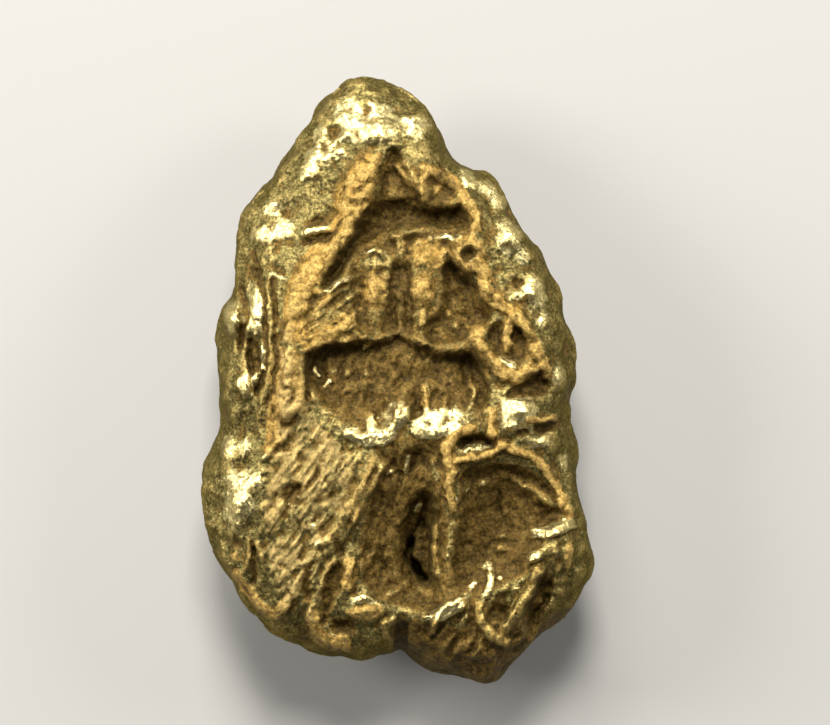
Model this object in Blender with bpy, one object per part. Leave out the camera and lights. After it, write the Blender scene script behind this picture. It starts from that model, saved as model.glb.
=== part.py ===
"""A gold nugget: one natural lump of metal, flattened and tapered, lying on its worn underside.

Seen from above it is a blunt tooth shape, narrow at +Y. Its top holds two valleys, a wide basin,
a gorge with a slit in it and a round bowl, parted by worn ridges; its flanks are hammered round.
The origin is on the surface it rests on, under the middle of its box. +Y is the narrow end.
"""

import bmesh
import bpy
import numpy as np
from mathutils import Vector, noise

# Driving dimensions. Everything is written in millimetres and made metres at the end.
MM = 0.001
LENGTH = 24.3
WIDTH = 15.7
THICKNESS = 7.4

GIRTH_HEIGHT = 3.4  # height of the widest line round the flanks
SHOULDER = 2.5  # how far in from the outline the flanks bend over to the top
SHOULDER_POWER = 2.8  # 2 is a round shoulder, more is a squarer one
BELLY = 4.2  # how far in from the outline the flanks bend under to the underside
CREST = (0.2, -1.5)  # where the top is highest before it is worn into relief
TOP_FALL = (0.016, 0.010)  # how fast the top falls away from there, across and along
KEEL = (-0.3, -0.8)  # the lowest place of the underside
KEEL_RISE = (0.030, 0.012)  # how fast the underside rises from there, across and along
REST_CUT = 0.2  # how much of the keel is worn off flat
LUMPS = ((0.36, 2.6), (0.16, 1.2))  # height and breadth of the lumps all over it
DENTS = (0.22, 1.5)  # depth and breadth of the rounded dents in the flanks

VOXEL = 0.17
TRIANGLES = 9400
COLOUR = (0.66, 0.46, 0.17, 1.0)
METALLIC = 1.0
ROUGHNESS = 0.42

# The outline from above, clockwise from the tip. The dents are where two lumps of metal meet.
OUTLINE = [
    (-1.3, 12.1), (-0.2, 11.9), (0.8, 11.1), (1.7, 10.1), (2.1, 9.2), (2.7, 8.6), (3.5, 8.3),
    (4.2, 7.8), (4.7, 6.9), (5.6, 5.5), (6.3, 4.0), (6.8, 2.2), (7.2, 0.3), (7.1, -0.8),
    (6.9, -1.6), (7.0, -2.8), (7.2, -4.6), (7.7, -6.2), (7.8, -7.4), (7.2, -8.8), (6.4, -9.8),
    (5.3, -10.8), (4.3, -11.8), (3.3, -12.1), (1.8, -11.6), (0.6, -11.0), (0.1, -10.7),
    (-0.5, -10.9), (-1.5, -11.1), (-2.6, -11.0), (-3.7, -10.7), (-4.9, -10.3), (-6.1, -9.2),
    (-7.0, -8.0), (-7.6, -6.7), (-7.8, -5.2), (-7.7, -3.8), (-7.2, -2.2), (-7.3, -0.8),
    (-7.3, 1.4), (-7.1, 2.8), (-6.7, 3.4), (-6.6, 5.0), (-6.1, 6.6), (-4.9, 8.7), (-3.7, 10.5),
    (-2.5, 11.8),
]


def curve_through(points, closed=False, spacing=0.25):
    """Points along a smooth curve through hand-placed ones."""
    p = np.array(points, float)
    if closed:
        p = np.vstack([p[-1:], p, p[:2]])
    else:
        p = np.vstack([2 * p[0] - p[1], p, 2 * p[-1] - p[-2]])
    made = []
    for a, b, c, d in zip(p, p[1:], p[2:], p[3:]):
        t = np.arange(0, 1, spacing / max(spacing, np.hypot(*(c - b))))[:, None]
        linear = t * (c - a)
        square = t**2 * (2 * a - 5 * b + 4 * c - d)
        cube = t**3 * (3 * b - a - 3 * c + d)
        made.append(b + (linear + square + cube) / 2)
    return np.vstack(made + [made[0][:1] if closed else p[-2:-1]])


def soft_step(low, high, value):
    t = np.clip((value - low) / (high - low), 0.0, 1.0)
    return t * t * (3 - 2 * t)


def nearest(xy, line):
    """For each point: how far a line is, the step to its nearest point, and how far along that is."""
    far = np.full(len(xy), np.inf)
    step = np.zeros_like(xy)
    along = np.zeros(len(xy))
    start = 0.0
    for a, b in zip(line, line[1:]):
        length = np.hypot(*(b - a)) + 1e-9
        t = np.clip((xy - a) @ (b - a) / length**2, 0, 1)
        to = a + t[:, None] * (b - a) - xy
        distance = np.hypot(to[:, 0], to[:, 1])
        closer = distance < far
        far[closer] = distance[closer]
        step[closer] = to[closer]
        along[closer] = start + t[closer] * length
        start += length
    return far, step, along, start


def inside(xy, loop):
    """True for each point that a closed loop holds."""
    held = np.zeros(len(xy), bool)
    for (ax, ay), (bx, by) in zip(loop, loop[1:]):
        spans = (ay > xy[:, 1]) != (by > xy[:, 1])
        crossing = ax + (xy[:, 1] - ay) * (bx - ax) / (by - ay + 1e-12)
        held ^= spans & (xy[:, 0] < crossing)
    return held


def near(xy, line, reach):
    """Which points lie in a line's box, grown by reach."""
    return np.where(np.all((xy > line.min(0) - reach) & (xy < line.max(0) + reach), axis=1))[0]


def ridge(xy, height, width, points):
    """A rounded ridge along a line; a negative height makes it a crease. Width is to one side."""
    line = curve_through(points)
    change = np.zeros(len(xy))
    here = near(xy, line, 1.5 * width)
    far, _, along, length = nearest(xy[here], line)
    ends = soft_step(-0.5 * width, 1.5 * width, np.minimum(along, length - along))
    change[here] = height * (1 - soft_step(0.6 * width, 1.4 * width, far)) * ends
    return change


def ground(xy, height, wall, bank, points):
    """Ground raised or sunk inside a loop. Its wall is bank times as wide on the -Y side."""
    loop = curve_through(points, closed=True)
    change = np.zeros(len(xy))
    here = near(xy, loop, 0.1)
    here = here[inside(xy[here], loop)]
    far, step, _, _ = nearest(xy[here], loop)
    below = np.clip(-step[:, 1] / (far + 1e-9), 0, 1) ** 2
    change[here] = height * soft_step(0, wall * (1 + (bank - 1) * below), far)
    return change


def boss(xy, height, radii, centre, turn=0):
    """A round lump, or a pit where height is negative. Turn is in degrees."""
    angle = np.radians(turn)
    offset = xy - np.array(centre)
    u = (offset[:, 0] * np.cos(angle) + offset[:, 1] * np.sin(angle)) / radii[0]
    v = (offset[:, 1] * np.cos(angle) - offset[:, 0] * np.sin(angle)) / radii[1]
    return height * (1 - soft_step(0.0, 1.3, np.hypot(u, v)))


RELIEF_SPREAD = 1.028  # the relief below is drawn this much larger than it lies
RELIEF_SHIFT = (0.08, 0.11)

# The relief of the top: height, wall, how much wider the -Y wall is, then the outline.
GROUNDS = [
    # the worn ground along the left, which stands over the flank
    (0.22, 0.35, 1.0, [
        (-0.7, 9.2), (-0.5, 6.5), (-1.6, 5.2), (-2.0, 3.0), (-0.9, 1.6), (-3.2, 0.8), (-3.6, -1.0),
        (-4.4, -1.8), (-5.0, -0.8), (-4.8, 0.8), (-4.6, 2.6), (-4.4, 4.0), (-3.8, 4.8),
        (-2.9, 5.6), (-2.3, 6.4), (-2.6, 7.4), (-2.3, 8.1), (-1.6, 8.8),
    ]),
    # the broad worn triangle at the head of the main ridge
    (0.12, 0.2, 1.0, [
        (-0.7, 9.3), (-0.6, 8.6), (-0.9, 7.6), (-1.2, 6.8), (-1.7, 6.2), (-2.3, 6.2), (-2.6, 7.0),
        (-2.6, 7.6), (-2.2, 8.1), (-1.4, 8.7),
    ]),
    # the upper valley, and its deep floor with an arm down to the left
    (-0.6, 0.5, 1.2, [
        (-0.2, 9.5), (0.8, 8.5), (1.2, 7.3), (2.7, 7.1), (3.1, 6.2), (2.8, 5.8), (1.4, 5.7),
        (0.2, 5.7), (-0.2, 5.2), (-1.4, 5.1), (-1.9, 4.4), (-2.6, 3.6), (-3.2, 3.6), (-3.0, 4.4),
        (-2.3, 5.4), (-1.8, 6.2), (-1.1, 7.3), (-0.7, 8.5),
    ]),
    (-0.5, 0.4, 1.2, [
        (-1.0, 7.2), (0.2, 7.5), (0.8, 7.3), (1.4, 7.1), (2.7, 7.1), (3.1, 6.2), (2.8, 5.8),
        (1.4, 5.7), (0.2, 5.8), (-1.3, 5.3), (-1.9, 4.4), (-2.6, 3.6), (-3.2, 3.6), (-3.0, 4.4),
        (-2.3, 5.4), (-1.7, 6.2),
    ]),
    # the terrace below it, in two halves
    (-0.35, 0.35, 1.6, [
        (-1.6, 4.6), (-1.2, 5.3), (-0.2, 5.4), (1.6, 5.8), (2.4, 5.4), (2.4, 4.6), (3.3, 3.9),
        (3.9, 2.6), (3.2, 1.6), (0.2, 1.4), (-1.6, 1.8), (-1.9, 3.0),
    ]),
    # the pocket between the middle bumps and the right ridge
    (-0.45, 0.4, 1.3, [
        (1.8, 4.5), (2.4, 4.9), (3.2, 4.1), (3.4, 3.2), (4.0, 2.5), (3.4, 1.9), (2.4, 1.3),
        (1.3, 1.3), (1.1, 2.2), (1.7, 3.1),
    ]),
    # the basin across the middle, with a cliff above and a long bank below
    (-0.8, 0.35, 4.0, [
        (-3.9, 0.9), (-3.2, 1.4), (-2.1, 1.6), (-0.8, 1.7), (0.1, 1.9), (0.9, 1.6), (1.8, 1.2),
        (3.1, 1.2), (3.6, 0.4), (3.9, -0.5), (3.6, -1.4), (2.6, -1.7), (0.8, -1.9), (0.2, -1.3),
        (-0.6, -2.2), (-2.1, -2.0), (-3.1, -1.2), (-3.7, -0.2),
    ]),
    # the lower valley, falling south from the bank, and the gorge in it
    (-0.75, 1.3, 0.7, [
        (-0.8, -2.6), (1.7, -2.3), (2.0, -3.6), (2.2, -5.6), (2.2, -8.8), (1.2, -9.6),
        (-0.4, -9.2), (-1.6, -8.3), (-1.9, -6.6), (-1.5, -4.8), (-1.1, -3.4),
    ]),
    (-0.9, 0.7, 1.2, [
        (1.1, -4.2), (1.9, -4.6), (2.1, -6.0), (2.0, -7.6), (1.6, -8.6), (0.6, -8.7),
        (-0.2, -7.7), (-0.2, -6.0), (0.3, -4.9),
    ]),
    # the round bowl at the lower right, deepest in its middle, and the pale lobe in it
    (-0.55, 0.6, 1.6, [
        (2.4, -3.7), (3.2, -3.3), (4.5, -3.1), (5.7, -3.6), (6.5, -4.5), (6.8, -5.5), (6.4, -6.3),
        (5.8, -7.1), (5.1, -8.1), (4.0, -8.6), (2.9, -8.8), (2.2, -8.4), (2.1, -7.0), (2.4, -5.2),
    ]),
    (-0.4, 1.5, 1.0, [
        (3.0, -4.0), (4.6, -3.7), (5.5, -4.7), (5.6, -6.3), (4.8, -7.6), (3.4, -8.2), (2.5, -7.6),
        (2.5, -5.6),
    ]),
    (0.45, 0.25, 1.0, [
        (4.5, -3.9), (5.3, -3.9), (6.1, -4.3), (6.7, -5.1), (6.2, -5.4), (5.7, -5.0), (5.2, -4.6),
    ]),
    # the shelf over the bowl, a pocket at each side of the boss, one on the left flank
    (-0.45, 0.22, 1.0, [(2.4, -2.3), (3.3, -2.1), (4.1, -2.3), (4.1, -2.8), (2.5, -2.8)]),
    (-0.5, 0.3, 1.0, [(4.6, -0.1), (5.5, 0.4), (6.2, 0.0), (6.0, -0.6), (4.4, -0.8)]),
    (-0.4, 0.25, 1.0, [(5.5, -1.7), (6.6, -1.6), (6.6, -2.0), (5.6, -2.2)]),
    (-0.45, 0.25, 1.0, [(-6.15, 1.7), (-5.65, 1.7), (-5.55, 0.3), (-6.1, 0.2)]),
    # the pocket in the lower left lobe
    (-0.55, 0.3, 1.0, [(-2.8, -9.5), (-1.7, -9.6), (-1.7, -10.4), (-2.6, -10.3)]),
]

# Rounded ridges, and creases where the height is negative: height, width, then the line.
RIDGES = [
    # the broad main ridge down the left of the top, its branch and its lower end
    (0.25, 0.45, [
        (-0.8, 9.0), (-1.5, 8.1), (-1.9, 7.0), (-2.2, 6.1), (-2.7, 5.5), (-3.3, 4.8), (-3.9, 3.9),
        (-4.1, 2.8), (-4.1, 1.4),
    ]),
    (0.25, 0.3, [(-3.9, 1.3), (-3.0, 1.7), (-2.3, 2.2), (-1.7, 2.6)]),
    (0.22, 0.4, [(-4.4, 1.4), (-4.7, 0.0), (-4.8, -1.6), (-5.0, -3.2)]),
    # the rim at the upper right, a lobe hanging from it, and the ridge inside the valley
    (0.2, 0.2, [(0.9, 8.6), (1.7, 8.4), (2.4, 7.9), (2.8, 7.3), (3.2, 6.6), (3.2, 5.9)]),
    (0.28, 0.2, [(1.1, 8.4), (1.2, 7.1)]),
    (0.35, 0.25, [(0.0, 8.9), (0.4, 8.3), (0.8, 7.7)]),
    # the right ridge and the hook that folds back from it
    (0.18, 0.24, [
        (3.2, 4.7), (3.6, 4.3), (3.5, 3.7), (3.9, 3.2), (4.6, 2.8), (5.1, 2.3), (5.4, 1.7),
        (5.7, 1.1), (6.0, 0.5), (6.2, 0.0),
    ]),
    (0.28, 0.25, [
        (3.3, 2.4), (3.2, 1.5), (3.6, 0.9), (4.0, 0.4), (4.5, 0.1), (5.1, 0.1), (5.6, 0.6),
    ]),
    (0.30, 0.2, [(4.6, 1.1), (4.4, 1.8), (4.6, 2.3), (4.9, 2.5), (5.2, 2.2), (5.2, 1.6)]),
    (-0.35, 0.25, [(4.0, 2.3), (4.0, 1.3)]),
    # the forked ridge between the lower valley and the bowl
    (0.3, 0.26, [
        (3.3, -1.9), (2.7, -2.1), (2.1, -2.5), (2.0, -3.0), (2.2, -3.6), (2.1, -4.3), (2.2, -4.9),
        (2.4, -5.4),
    ]),
    (0.35, 0.22, [(2.3, -3.2), (3.5, -3.0), (4.3, -2.7)]),
    (0.35, 0.2, [(1.6, -5.7), (1.5, -6.8), (1.6, -8.0)]),
    # the rim that runs over the bowl
    (0.2, 0.2, [
        (3.9, -1.0), (3.9, -2.0), (4.3, -2.6), (5.0, -2.9), (5.6, -3.1), (6.1, -3.6), (6.5, -4.3),
        (6.8, -5.0), (7.1, -5.6),
    ]),
    # ledges at the right, below the bowl
    (0.4, 0.22, [(5.4, -6.2), (6.4, -6.0), (7.3, -5.7)]),
    (0.35, 0.22, [(5.2, -7.3), (5.9, -6.9)]),
    # the ridge slanting down the lower left, and its two creases
    (0.3, 0.35, [(-0.6, -3.0), (-1.4, -4.5), (-1.9, -5.4), (-2.4, -6.2), (-3.0, -6.9)]),
    (-0.5, 0.35, [(-2.2, -7.4), (-2.8, -8.6), (-3.3, -9.8)]),
    (0.3, 0.25, [(-1.9, -7.1), (-2.1, -8.6)]),
    # the rim of the lower left lobe, the cleft beside it, and the folds of the lower right lobe
    (0.35, 0.3, [(-3.4, -9.2), (-3.4, -10.0), (-2.9, -10.5), (-1.8, -10.7)]),
    (-0.6, 0.3, [(0.3, -8.9), (0.1, -9.8), (0.2, -11.2)]),
    (0.42, 0.28, [(1.2, -9.8), (2.1, -9.2), (2.9, -8.8)]),
    (0.4, 0.28, [(3.4, -8.8), (3.4, -9.6), (4.0, -10.3), (4.8, -10.6)]),
    (0.45, 0.3, [(5.9, -7.4), (5.6, -8.1), (5.2, -8.9), (4.6, -9.7), (4.2, -10.3)]),
    (-0.45, 0.35, [(6.1, -7.8), (5.9, -8.8), (5.3, -10.2)]),
    (-0.35, 0.3, [(4.3, -8.9), (4.0, -9.7)]),
    # the foot of the basin's bank and its crest, in two parts
    (0.2, 0.7, [(-2.8, -0.7), (-0.8, -0.9), (0.8, -0.8), (2.8, -0.6)]),
    (0.15, 0.25, [(-2.2, -2.05), (-1.2, -2.35), (-0.4, -2.3), (0.1, -1.7), (0.3, -1.2)]),
    (0.15, 0.25, [(0.6, -1.9), (1.3, -2.1), (2.1, -2.0), (2.8, -1.7)]),
    # the bright bent step of the narrow end
    (0.25, 0.28, [(-2.4, 11.3), (-2.1, 10.8), (-1.7, 10.3), (-1.1, 10.1), (-0.5, 10.1)]),
    # a thin fold and a deep groove along the left flank, and the groove between the middle bumps
    (0.15, 0.22, [(-5.4, 5.6), (-5.2, 3.6), (-5.1, 1.6), (-5.2, -0.4), (-5.4, -1.6)]),
    (-0.5, 0.15, [(-6.4, 3.8), (-6.25, 3.0), (-6.3, 1.7), (-6.4, 1.2)]),
    (-0.6, 0.32, [(0.2, 4.9), (0.1, 3.2), (0.3, 1.6)]),
    # the slit in the floor of the gorge
    (-1.1, 0.15, [
        (0.65, -6.3), (0.5, -6.7), (0.45, -7.1), (0.65, -7.4), (0.85, -7.7), (1.2, -8.2),
    ]),
    (-0.7, 0.14, [(1.0, -5.5), (0.95, -5.9), (0.8, -6.2)]),
]

# Round lumps and pits: height, radii, centre and turn.
BOSSES = [
    (0.35, (0.55, 1.1), (-0.9, 3.6), 0),
    (0.42, (0.6, 0.75), (1.0, 3.6), 0),
    (-0.35, (0.35, 0.55), (-0.3, 2.3), 0),
    (-0.4, (0.7, 0.7), (1.75, 7.7), 0),
    (0.35, (0.35, 0.35), (1.6, 7.7), 0),
    (0.45, (0.85, 0.85), (2.9, 5.1), 0),
    (-0.55, (0.35, 0.35), (2.9, 5.1), 0),
    (0.5, (1.1, 0.95), (4.9, -1.4), -20),
    (0.35, (1.0, 0.4), (-1.3, -9.3), 0),
    (0.3, (0.25, 0.5), (1.1, -0.5), 0),
    (-0.35, (0.8, 0.8), (3.2, 0.5), 0),
    (-0.4, (0.7, 0.7), (-1.4, 10.3), 0),
    (0.5, (1.3, 0.6), (-1.0, 9.9), -15),
    (-0.35, (0.9, 0.7), (-4.7, 6.6), 50),
    (-0.3, (0.9, 0.6), (-6.2, -3.6), 80),
    (0.4, (1.0, 0.8), (-6.5, -5.0), 80),
    (0.3, (0.8, 0.7), (-6.4, 2.6), 80),
    (0.3, (0.9, 0.6), (4.6, 5.9), -60),
    (-0.3, (0.7, 0.5), (3.7, 7.5), -40),
    (0.3, (0.8, 0.6), (5.6, 3.6), -60),
    (0.35, (0.8, 0.9), (6.7, -6.9), 0),
    # the two upright lobes of the left flank
    (0.4, (0.38, 0.9), (-5.8, 2.8), 0),
    (0.4, (0.35, 0.7), (-6.75, 2.5), 10),
]

# The underside's own hollows and folds, seen from above as if through the metal.
BELLY_FORMS = [
    (0.5, 0.7, [(-4.8, 4.4), (-3.2, 5.6), (-1.0, 6.2), (1.4, 7.2)]),
    (-0.4, 0.6, [(2.6, 5.4), (3.8, 3.2), (4.6, 0.8), (4.7, -1.8)]),
    (0.45, 0.6, [(-5.6, -2.0), (-4.6, -4.2), (-2.6, -6.2), (-0.6, -7.4), (1.4, -9.4)]),
    (-0.2, 0.7, [(4.4, -4.6), (4.4, -6.6), (4.8, -8.8)]),
    (0.4, 0.5, [(-0.4, 8.4), (-1.2, 10.2)]),
]

# Where the lower left of the top is streaked, and how the streaks run.
STREAK_AREA = [
    (-4.6, 0.4), (-3.5, -0.6), (-2.2, -2.2), (-1.2, -3.6), (-1.7, -5.2), (-2.6, -6.6), (-3.2, -8.0),
    (-3.8, -9.4), (-5.4, -8.4), (-5.8, -6.6), (-5.6, -4.0), (-5.2, -1.6),
]
STREAK_ANGLE = 57  # degrees from +X
STREAK_SIZE = (2.6, 0.55)  # along and across
STREAK_HEIGHT = 0.22


def noise_at(points, scale, seed):
    """Smooth noise from -1 to 1 at each point, with lumps about scale across."""
    shift = Vector((seed * 7.3, seed * 3.1, seed * 5.7))
    return np.array([noise.noise(Vector(p) / scale + shift) for p in points])


def dent_depth(points, breadth):
    """Rounded dents that meet in ridges, 1 in the middle of a dent and 0 on its rim."""
    depths = []
    for p in points:
        (first, second, _, _), _ = noise.voronoi(Vector(p) / breadth)
        depths.append(min(1.0, 1.6 * (second - first)))
    return np.array(depths)


def streaks(xy):
    """The streaks, as noise stretched along them."""
    angle = np.radians(STREAK_ANGLE)
    along = xy @ np.array([np.cos(angle), np.sin(angle)]) / STREAK_SIZE[0]
    across = xy @ np.array([np.sin(angle), -np.cos(angle)]) / STREAK_SIZE[1]
    pattern = noise_at(np.column_stack([along, across, 0 * along]), 1.0, 5)
    return pattern * ground(xy, STREAK_HEIGHT, 0.8, 1.0, STREAK_AREA)


def rounded_form():
    """The nugget before it is worn: a closed pillow over the outline, with its rings of faces."""
    loop = curve_through(OUTLINE, closed=True, spacing=0.4)
    rim = loop[:-1]
    middle = np.array([0.0, -1.0])
    shrinks = [0.01, 0.03, 0.06, 0.1, 0.15, 0.21, 0.28, 0.36, 0.46, 0.58, 0.75, 0.92]
    rings = [np.column_stack([rim, np.full(len(rim), GIRTH_HEIGHT)])]
    for side in (1, -1):
        for shrink in shrinks:
            xy = rim + (middle - rim) * shrink
            inset = nearest(xy, loop)[0]
            rings.append(np.column_stack([xy, side_height(xy, inset, side)]))
    count = len(rim)
    points = np.vstack(rings)
    poles = np.array([[*middle, side_height(middle[None], np.array([6.0]), s)[0]] for s in (1, -1)])
    faces = []
    half = len(shrinks)
    for side, pole in ((0, len(points)), (1, len(points) + 1)):
        order = [0] + [1 + side * half + n for n in range(half)]
        for outer, inner in zip(order, order[1:]):
            for n in range(count):
                m = (n + 1) % count
                face = [outer * count + n, outer * count + m, inner * count + m, inner * count + n]
                faces.append(face[:: -1 if side == 0 else 1])
        for n in range(count):
            face = [order[-1] * count + n, order[-1] * count + (n + 1) % count, pole]
            faces.append(face[:: -1 if side == 0 else 1])
    return np.vstack([points, poles]), faces


def side_height(xy, inset, side):
    """Height of the unworn top (side 1) or underside (side -1) at an inset from the outline."""
    if side > 0:
        turn = np.clip(inset / SHOULDER, 0, 1)
        away = xy - np.array(CREST)
        reach = THICKNESS - GIRTH_HEIGHT - away**2 @ np.array(TOP_FALL)
        return GIRTH_HEIGHT + reach * (1 - (1 - turn) ** SHOULDER_POWER) ** (1 / SHOULDER_POWER)
    turn = np.clip(inset / BELLY, 0, 1)
    away = xy - np.array(KEEL)
    reach = GIRTH_HEIGHT + REST_CUT - away**2 @ np.array(KEEL_RISE)
    return GIRTH_HEIGHT - reach * (1 - (1 - turn) ** 2.0) ** 0.62


def add_relief(points, normals):
    """Wears the pillow into the nugget: relief on top, folds below, and lumps all over."""
    xy = points[:, :2]
    top = soft_step(-0.1, 0.35, normals[:, 2])
    below = soft_step(0.1, 0.6, -normals[:, 2])
    drawn = xy * RELIEF_SPREAD + np.array(RELIEF_SHIFT)
    change = streaks(drawn)
    change += sum(ground(drawn, *outline) for outline in GROUNDS)
    change += sum(ridge(drawn, *fold) for fold in RIDGES)
    change += sum(boss(drawn, *lump) for lump in BOSSES)
    dents = DENTS[0] * dent_depth(points, DENTS[1])
    lumps = sum(height * noise_at(points, breadth, n) for n, (height, breadth) in enumerate(LUMPS))
    off_keel = np.hypot(*((xy - np.array(KEEL)) / np.array([3.6, 5.0])).T)
    rest = soft_step(0.7, 1.25, off_keel)
    folds = sum(ridge(xy, *fold) for fold in BELLY_FORMS)
    flank = 1 - soft_step(0.75, 0.97, np.abs(normals[:, 2]))
    amount = np.clip(0.6 * top + flank + below * rest, 0, 1)
    moved = points + normals * (lumps * amount - dents * flank)[:, None]
    moved[:, 2] += top * change + below * rest * folds
    return moved


def mesh_from(points, faces, name):
    mesh = bpy.data.meshes.new(name)
    mesh.from_pydata([tuple(p) for p in points], [], faces)
    mesh.update()
    return mesh


def with_modifier(mesh, kind, **settings):
    """The mesh as one modifier leaves it."""
    carrier = bpy.data.objects.new("carrier", mesh)
    bpy.context.scene.collection.objects.link(carrier)
    modifier = carrier.modifiers.new(kind, kind)
    for setting, value in settings.items():
        setattr(modifier, setting, value)
    bpy.context.view_layer.update()
    evaluated = carrier.evaluated_get(bpy.context.evaluated_depsgraph_get())
    made = bpy.data.meshes.new_from_object(evaluated)
    bpy.data.objects.remove(carrier)
    return made


def vertex_values(mesh, what):
    values = np.empty(len(mesh.vertices) * 3)
    mesh.vertices.foreach_get(what, values)
    return values.reshape(-1, 3)


def cut_flat(mesh):
    """Cuts the worn resting face at height 0 and closes it with one flat face."""
    bm = bmesh.new()
    bm.from_mesh(mesh)
    everything = bm.verts[:] + bm.edges[:] + bm.faces[:]
    cut = bmesh.ops.bisect_plane(
        bm, geom=everything, plane_co=(0, 0, 0), plane_no=(0, 0, 1), clear_inner=True
    )
    edges = [e for e in cut["geom_cut"] if isinstance(e, bmesh.types.BMEdge)]
    bmesh.ops.contextual_create(bm, geom=edges)
    bmesh.ops.triangulate(bm, faces=bm.faces[:])
    bmesh.ops.recalc_face_normals(bm, faces=bm.faces[:])
    bm.to_mesh(mesh)
    bm.free()


def fit_box(points):
    """Sets length, width and thickness true, with the box's bottom middle at the origin."""
    low, high = points.min(0), points.max(0)
    low[2] = 0.0
    size = np.array([WIDTH, LENGTH, THICKNESS])
    middle = (low + high) / 2 * np.array([1, 1, 0])
    return (points - middle) * size / (high - low)


for old in list(bpy.data.objects):
    bpy.data.objects.remove(old)

pillow = mesh_from(*rounded_form(), "pillow")
even = with_modifier(pillow, "REMESH", mode="VOXEL", voxel_size=VOXEL)
points = add_relief(vertex_values(even, "co"), vertex_values(even, "normal"))
even.vertices.foreach_set("co", fit_box(points).ravel())
even.update()
share = TRIANGLES / sum(len(face.vertices) - 2 for face in even.polygons)
facets = with_modifier(even, "DECIMATE", ratio=share, use_collapse_triangulate=True)
cut_flat(facets)
facets.vertices.foreach_set("co", (vertex_values(facets, "co") * MM).ravel())
facets.update()

nugget = bpy.data.objects.new("nugget", facets)
facets.name = "nugget"
facets.shade_smooth()
bpy.context.scene.collection.objects.link(nugget)

gold = bpy.data.materials.new("gold")
gold.use_nodes = True
shader = gold.node_tree.nodes["Principled BSDF"]
shader.inputs["Base Color"].default_value = COLOUR
shader.inputs["Metallic"].default_value = METALLIC
shader.inputs["Roughness"].default_value = ROUGHNESS
facets.materials.clear()
facets.materials.append(gold)
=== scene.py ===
"""A gold nugget lying on a pale studio floor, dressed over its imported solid."""

import bmesh
import bpy
import numpy as np
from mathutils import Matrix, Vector, noise


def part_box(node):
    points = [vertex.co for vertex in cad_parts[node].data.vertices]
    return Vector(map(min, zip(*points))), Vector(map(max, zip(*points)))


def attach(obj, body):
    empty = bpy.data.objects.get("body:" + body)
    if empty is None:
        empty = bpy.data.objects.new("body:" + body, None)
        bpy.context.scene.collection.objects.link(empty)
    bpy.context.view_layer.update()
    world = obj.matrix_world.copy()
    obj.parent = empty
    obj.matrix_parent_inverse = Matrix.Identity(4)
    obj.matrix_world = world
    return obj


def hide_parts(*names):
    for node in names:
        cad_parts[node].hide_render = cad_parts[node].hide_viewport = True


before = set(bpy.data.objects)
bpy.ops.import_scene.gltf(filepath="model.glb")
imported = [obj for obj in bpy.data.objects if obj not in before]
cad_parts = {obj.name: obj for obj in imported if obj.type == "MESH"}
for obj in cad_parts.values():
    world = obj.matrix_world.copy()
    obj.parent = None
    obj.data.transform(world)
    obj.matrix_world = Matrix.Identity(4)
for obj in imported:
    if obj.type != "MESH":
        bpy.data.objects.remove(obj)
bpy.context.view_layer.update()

# ------------------------------------------------------------------------------------------
# The nugget. One natural lump of gold, cast by nature and never worked: a flattened, tapered
# pebble of metal. Rolling wore its high ground to a matte tan, left brown earth in its hollows,
# and hammered its flanks into bright dents. It lies loose on its worn underside.

MM = 0.001
GIRTH_HEIGHT = 3.4  # height of the widest line round the flanks
THICKNESS = 7.4
SHOULDER = 2.5  # how far in from the outline the flanks bend over to the top
SHOULDER_POWER = 2.8  # 2 is a round shoulder, more is a squarer one
BELLY = 4.2  # how far in from the outline the flanks bend under to the underside
BELLY_POWER = 0.62  # 0.5 is a round belly, more is a sharper one
MIDDLE = (0.0, -1.0)  # where the pillow's rings of faces close
CREST = (0.2, -1.5)  # where the top is highest before it is worn into relief
TOP_FALL = (0.016, 0.010)  # how fast the top falls away from there, across and along
KEEL = (-0.3, -0.8)  # the lowest place of the underside
KEEL_RISE = (0.030, 0.012)  # how fast the underside rises from there, across and along
KEEL_REACH = (3.6, 5.0)  # how far from there the underside stays smooth, across and along
REST_CUT = 0.2  # how much of the keel is worn off flat
LUMPS = ((0.36, 2.6), (0.16, 1.2))  # height and breadth of the lumps all over it
DENTS = (0.14, 1.5)  # depth and breadth of the rounded dents in the flanks

# The finished mesh: how broad its faces are, and how many are left once it is thinned.
VOXEL = 0.068
TRIANGLES = 192000

# The outline from above, clockwise from the tip. The dents are where two lumps of metal meet.
OUTLINE = [
    (-1.3, 12.1), (-0.2, 11.9), (0.8, 11.1), (1.7, 10.1), (2.1, 9.2), (2.7, 8.6), (3.5, 8.3),
    (4.2, 7.8), (4.7, 6.9), (5.6, 5.5), (6.3, 4.0), (6.8, 2.2), (7.2, 0.3), (7.1, -0.8),
    (6.9, -1.6), (7.0, -2.8), (7.2, -4.6), (7.7, -6.2), (7.8, -7.4), (7.2, -8.8), (6.4, -9.8),
    (5.3, -10.8), (4.3, -11.8), (3.3, -12.1), (1.8, -11.6), (0.6, -11.0), (0.1, -10.7),
    (-0.5, -10.9), (-1.5, -11.1), (-2.6, -11.0), (-3.7, -10.7), (-4.9, -10.3), (-6.1, -9.2),
    (-7.0, -8.0), (-7.6, -6.7), (-7.8, -5.2), (-7.7, -3.8), (-7.2, -2.2), (-7.3, -0.8),
    (-7.3, 1.4), (-7.1, 2.8), (-6.7, 3.4), (-6.6, 5.0), (-6.1, 6.6), (-4.9, 8.7), (-3.7, 10.5),
    (-2.5, 11.8),
]


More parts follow.
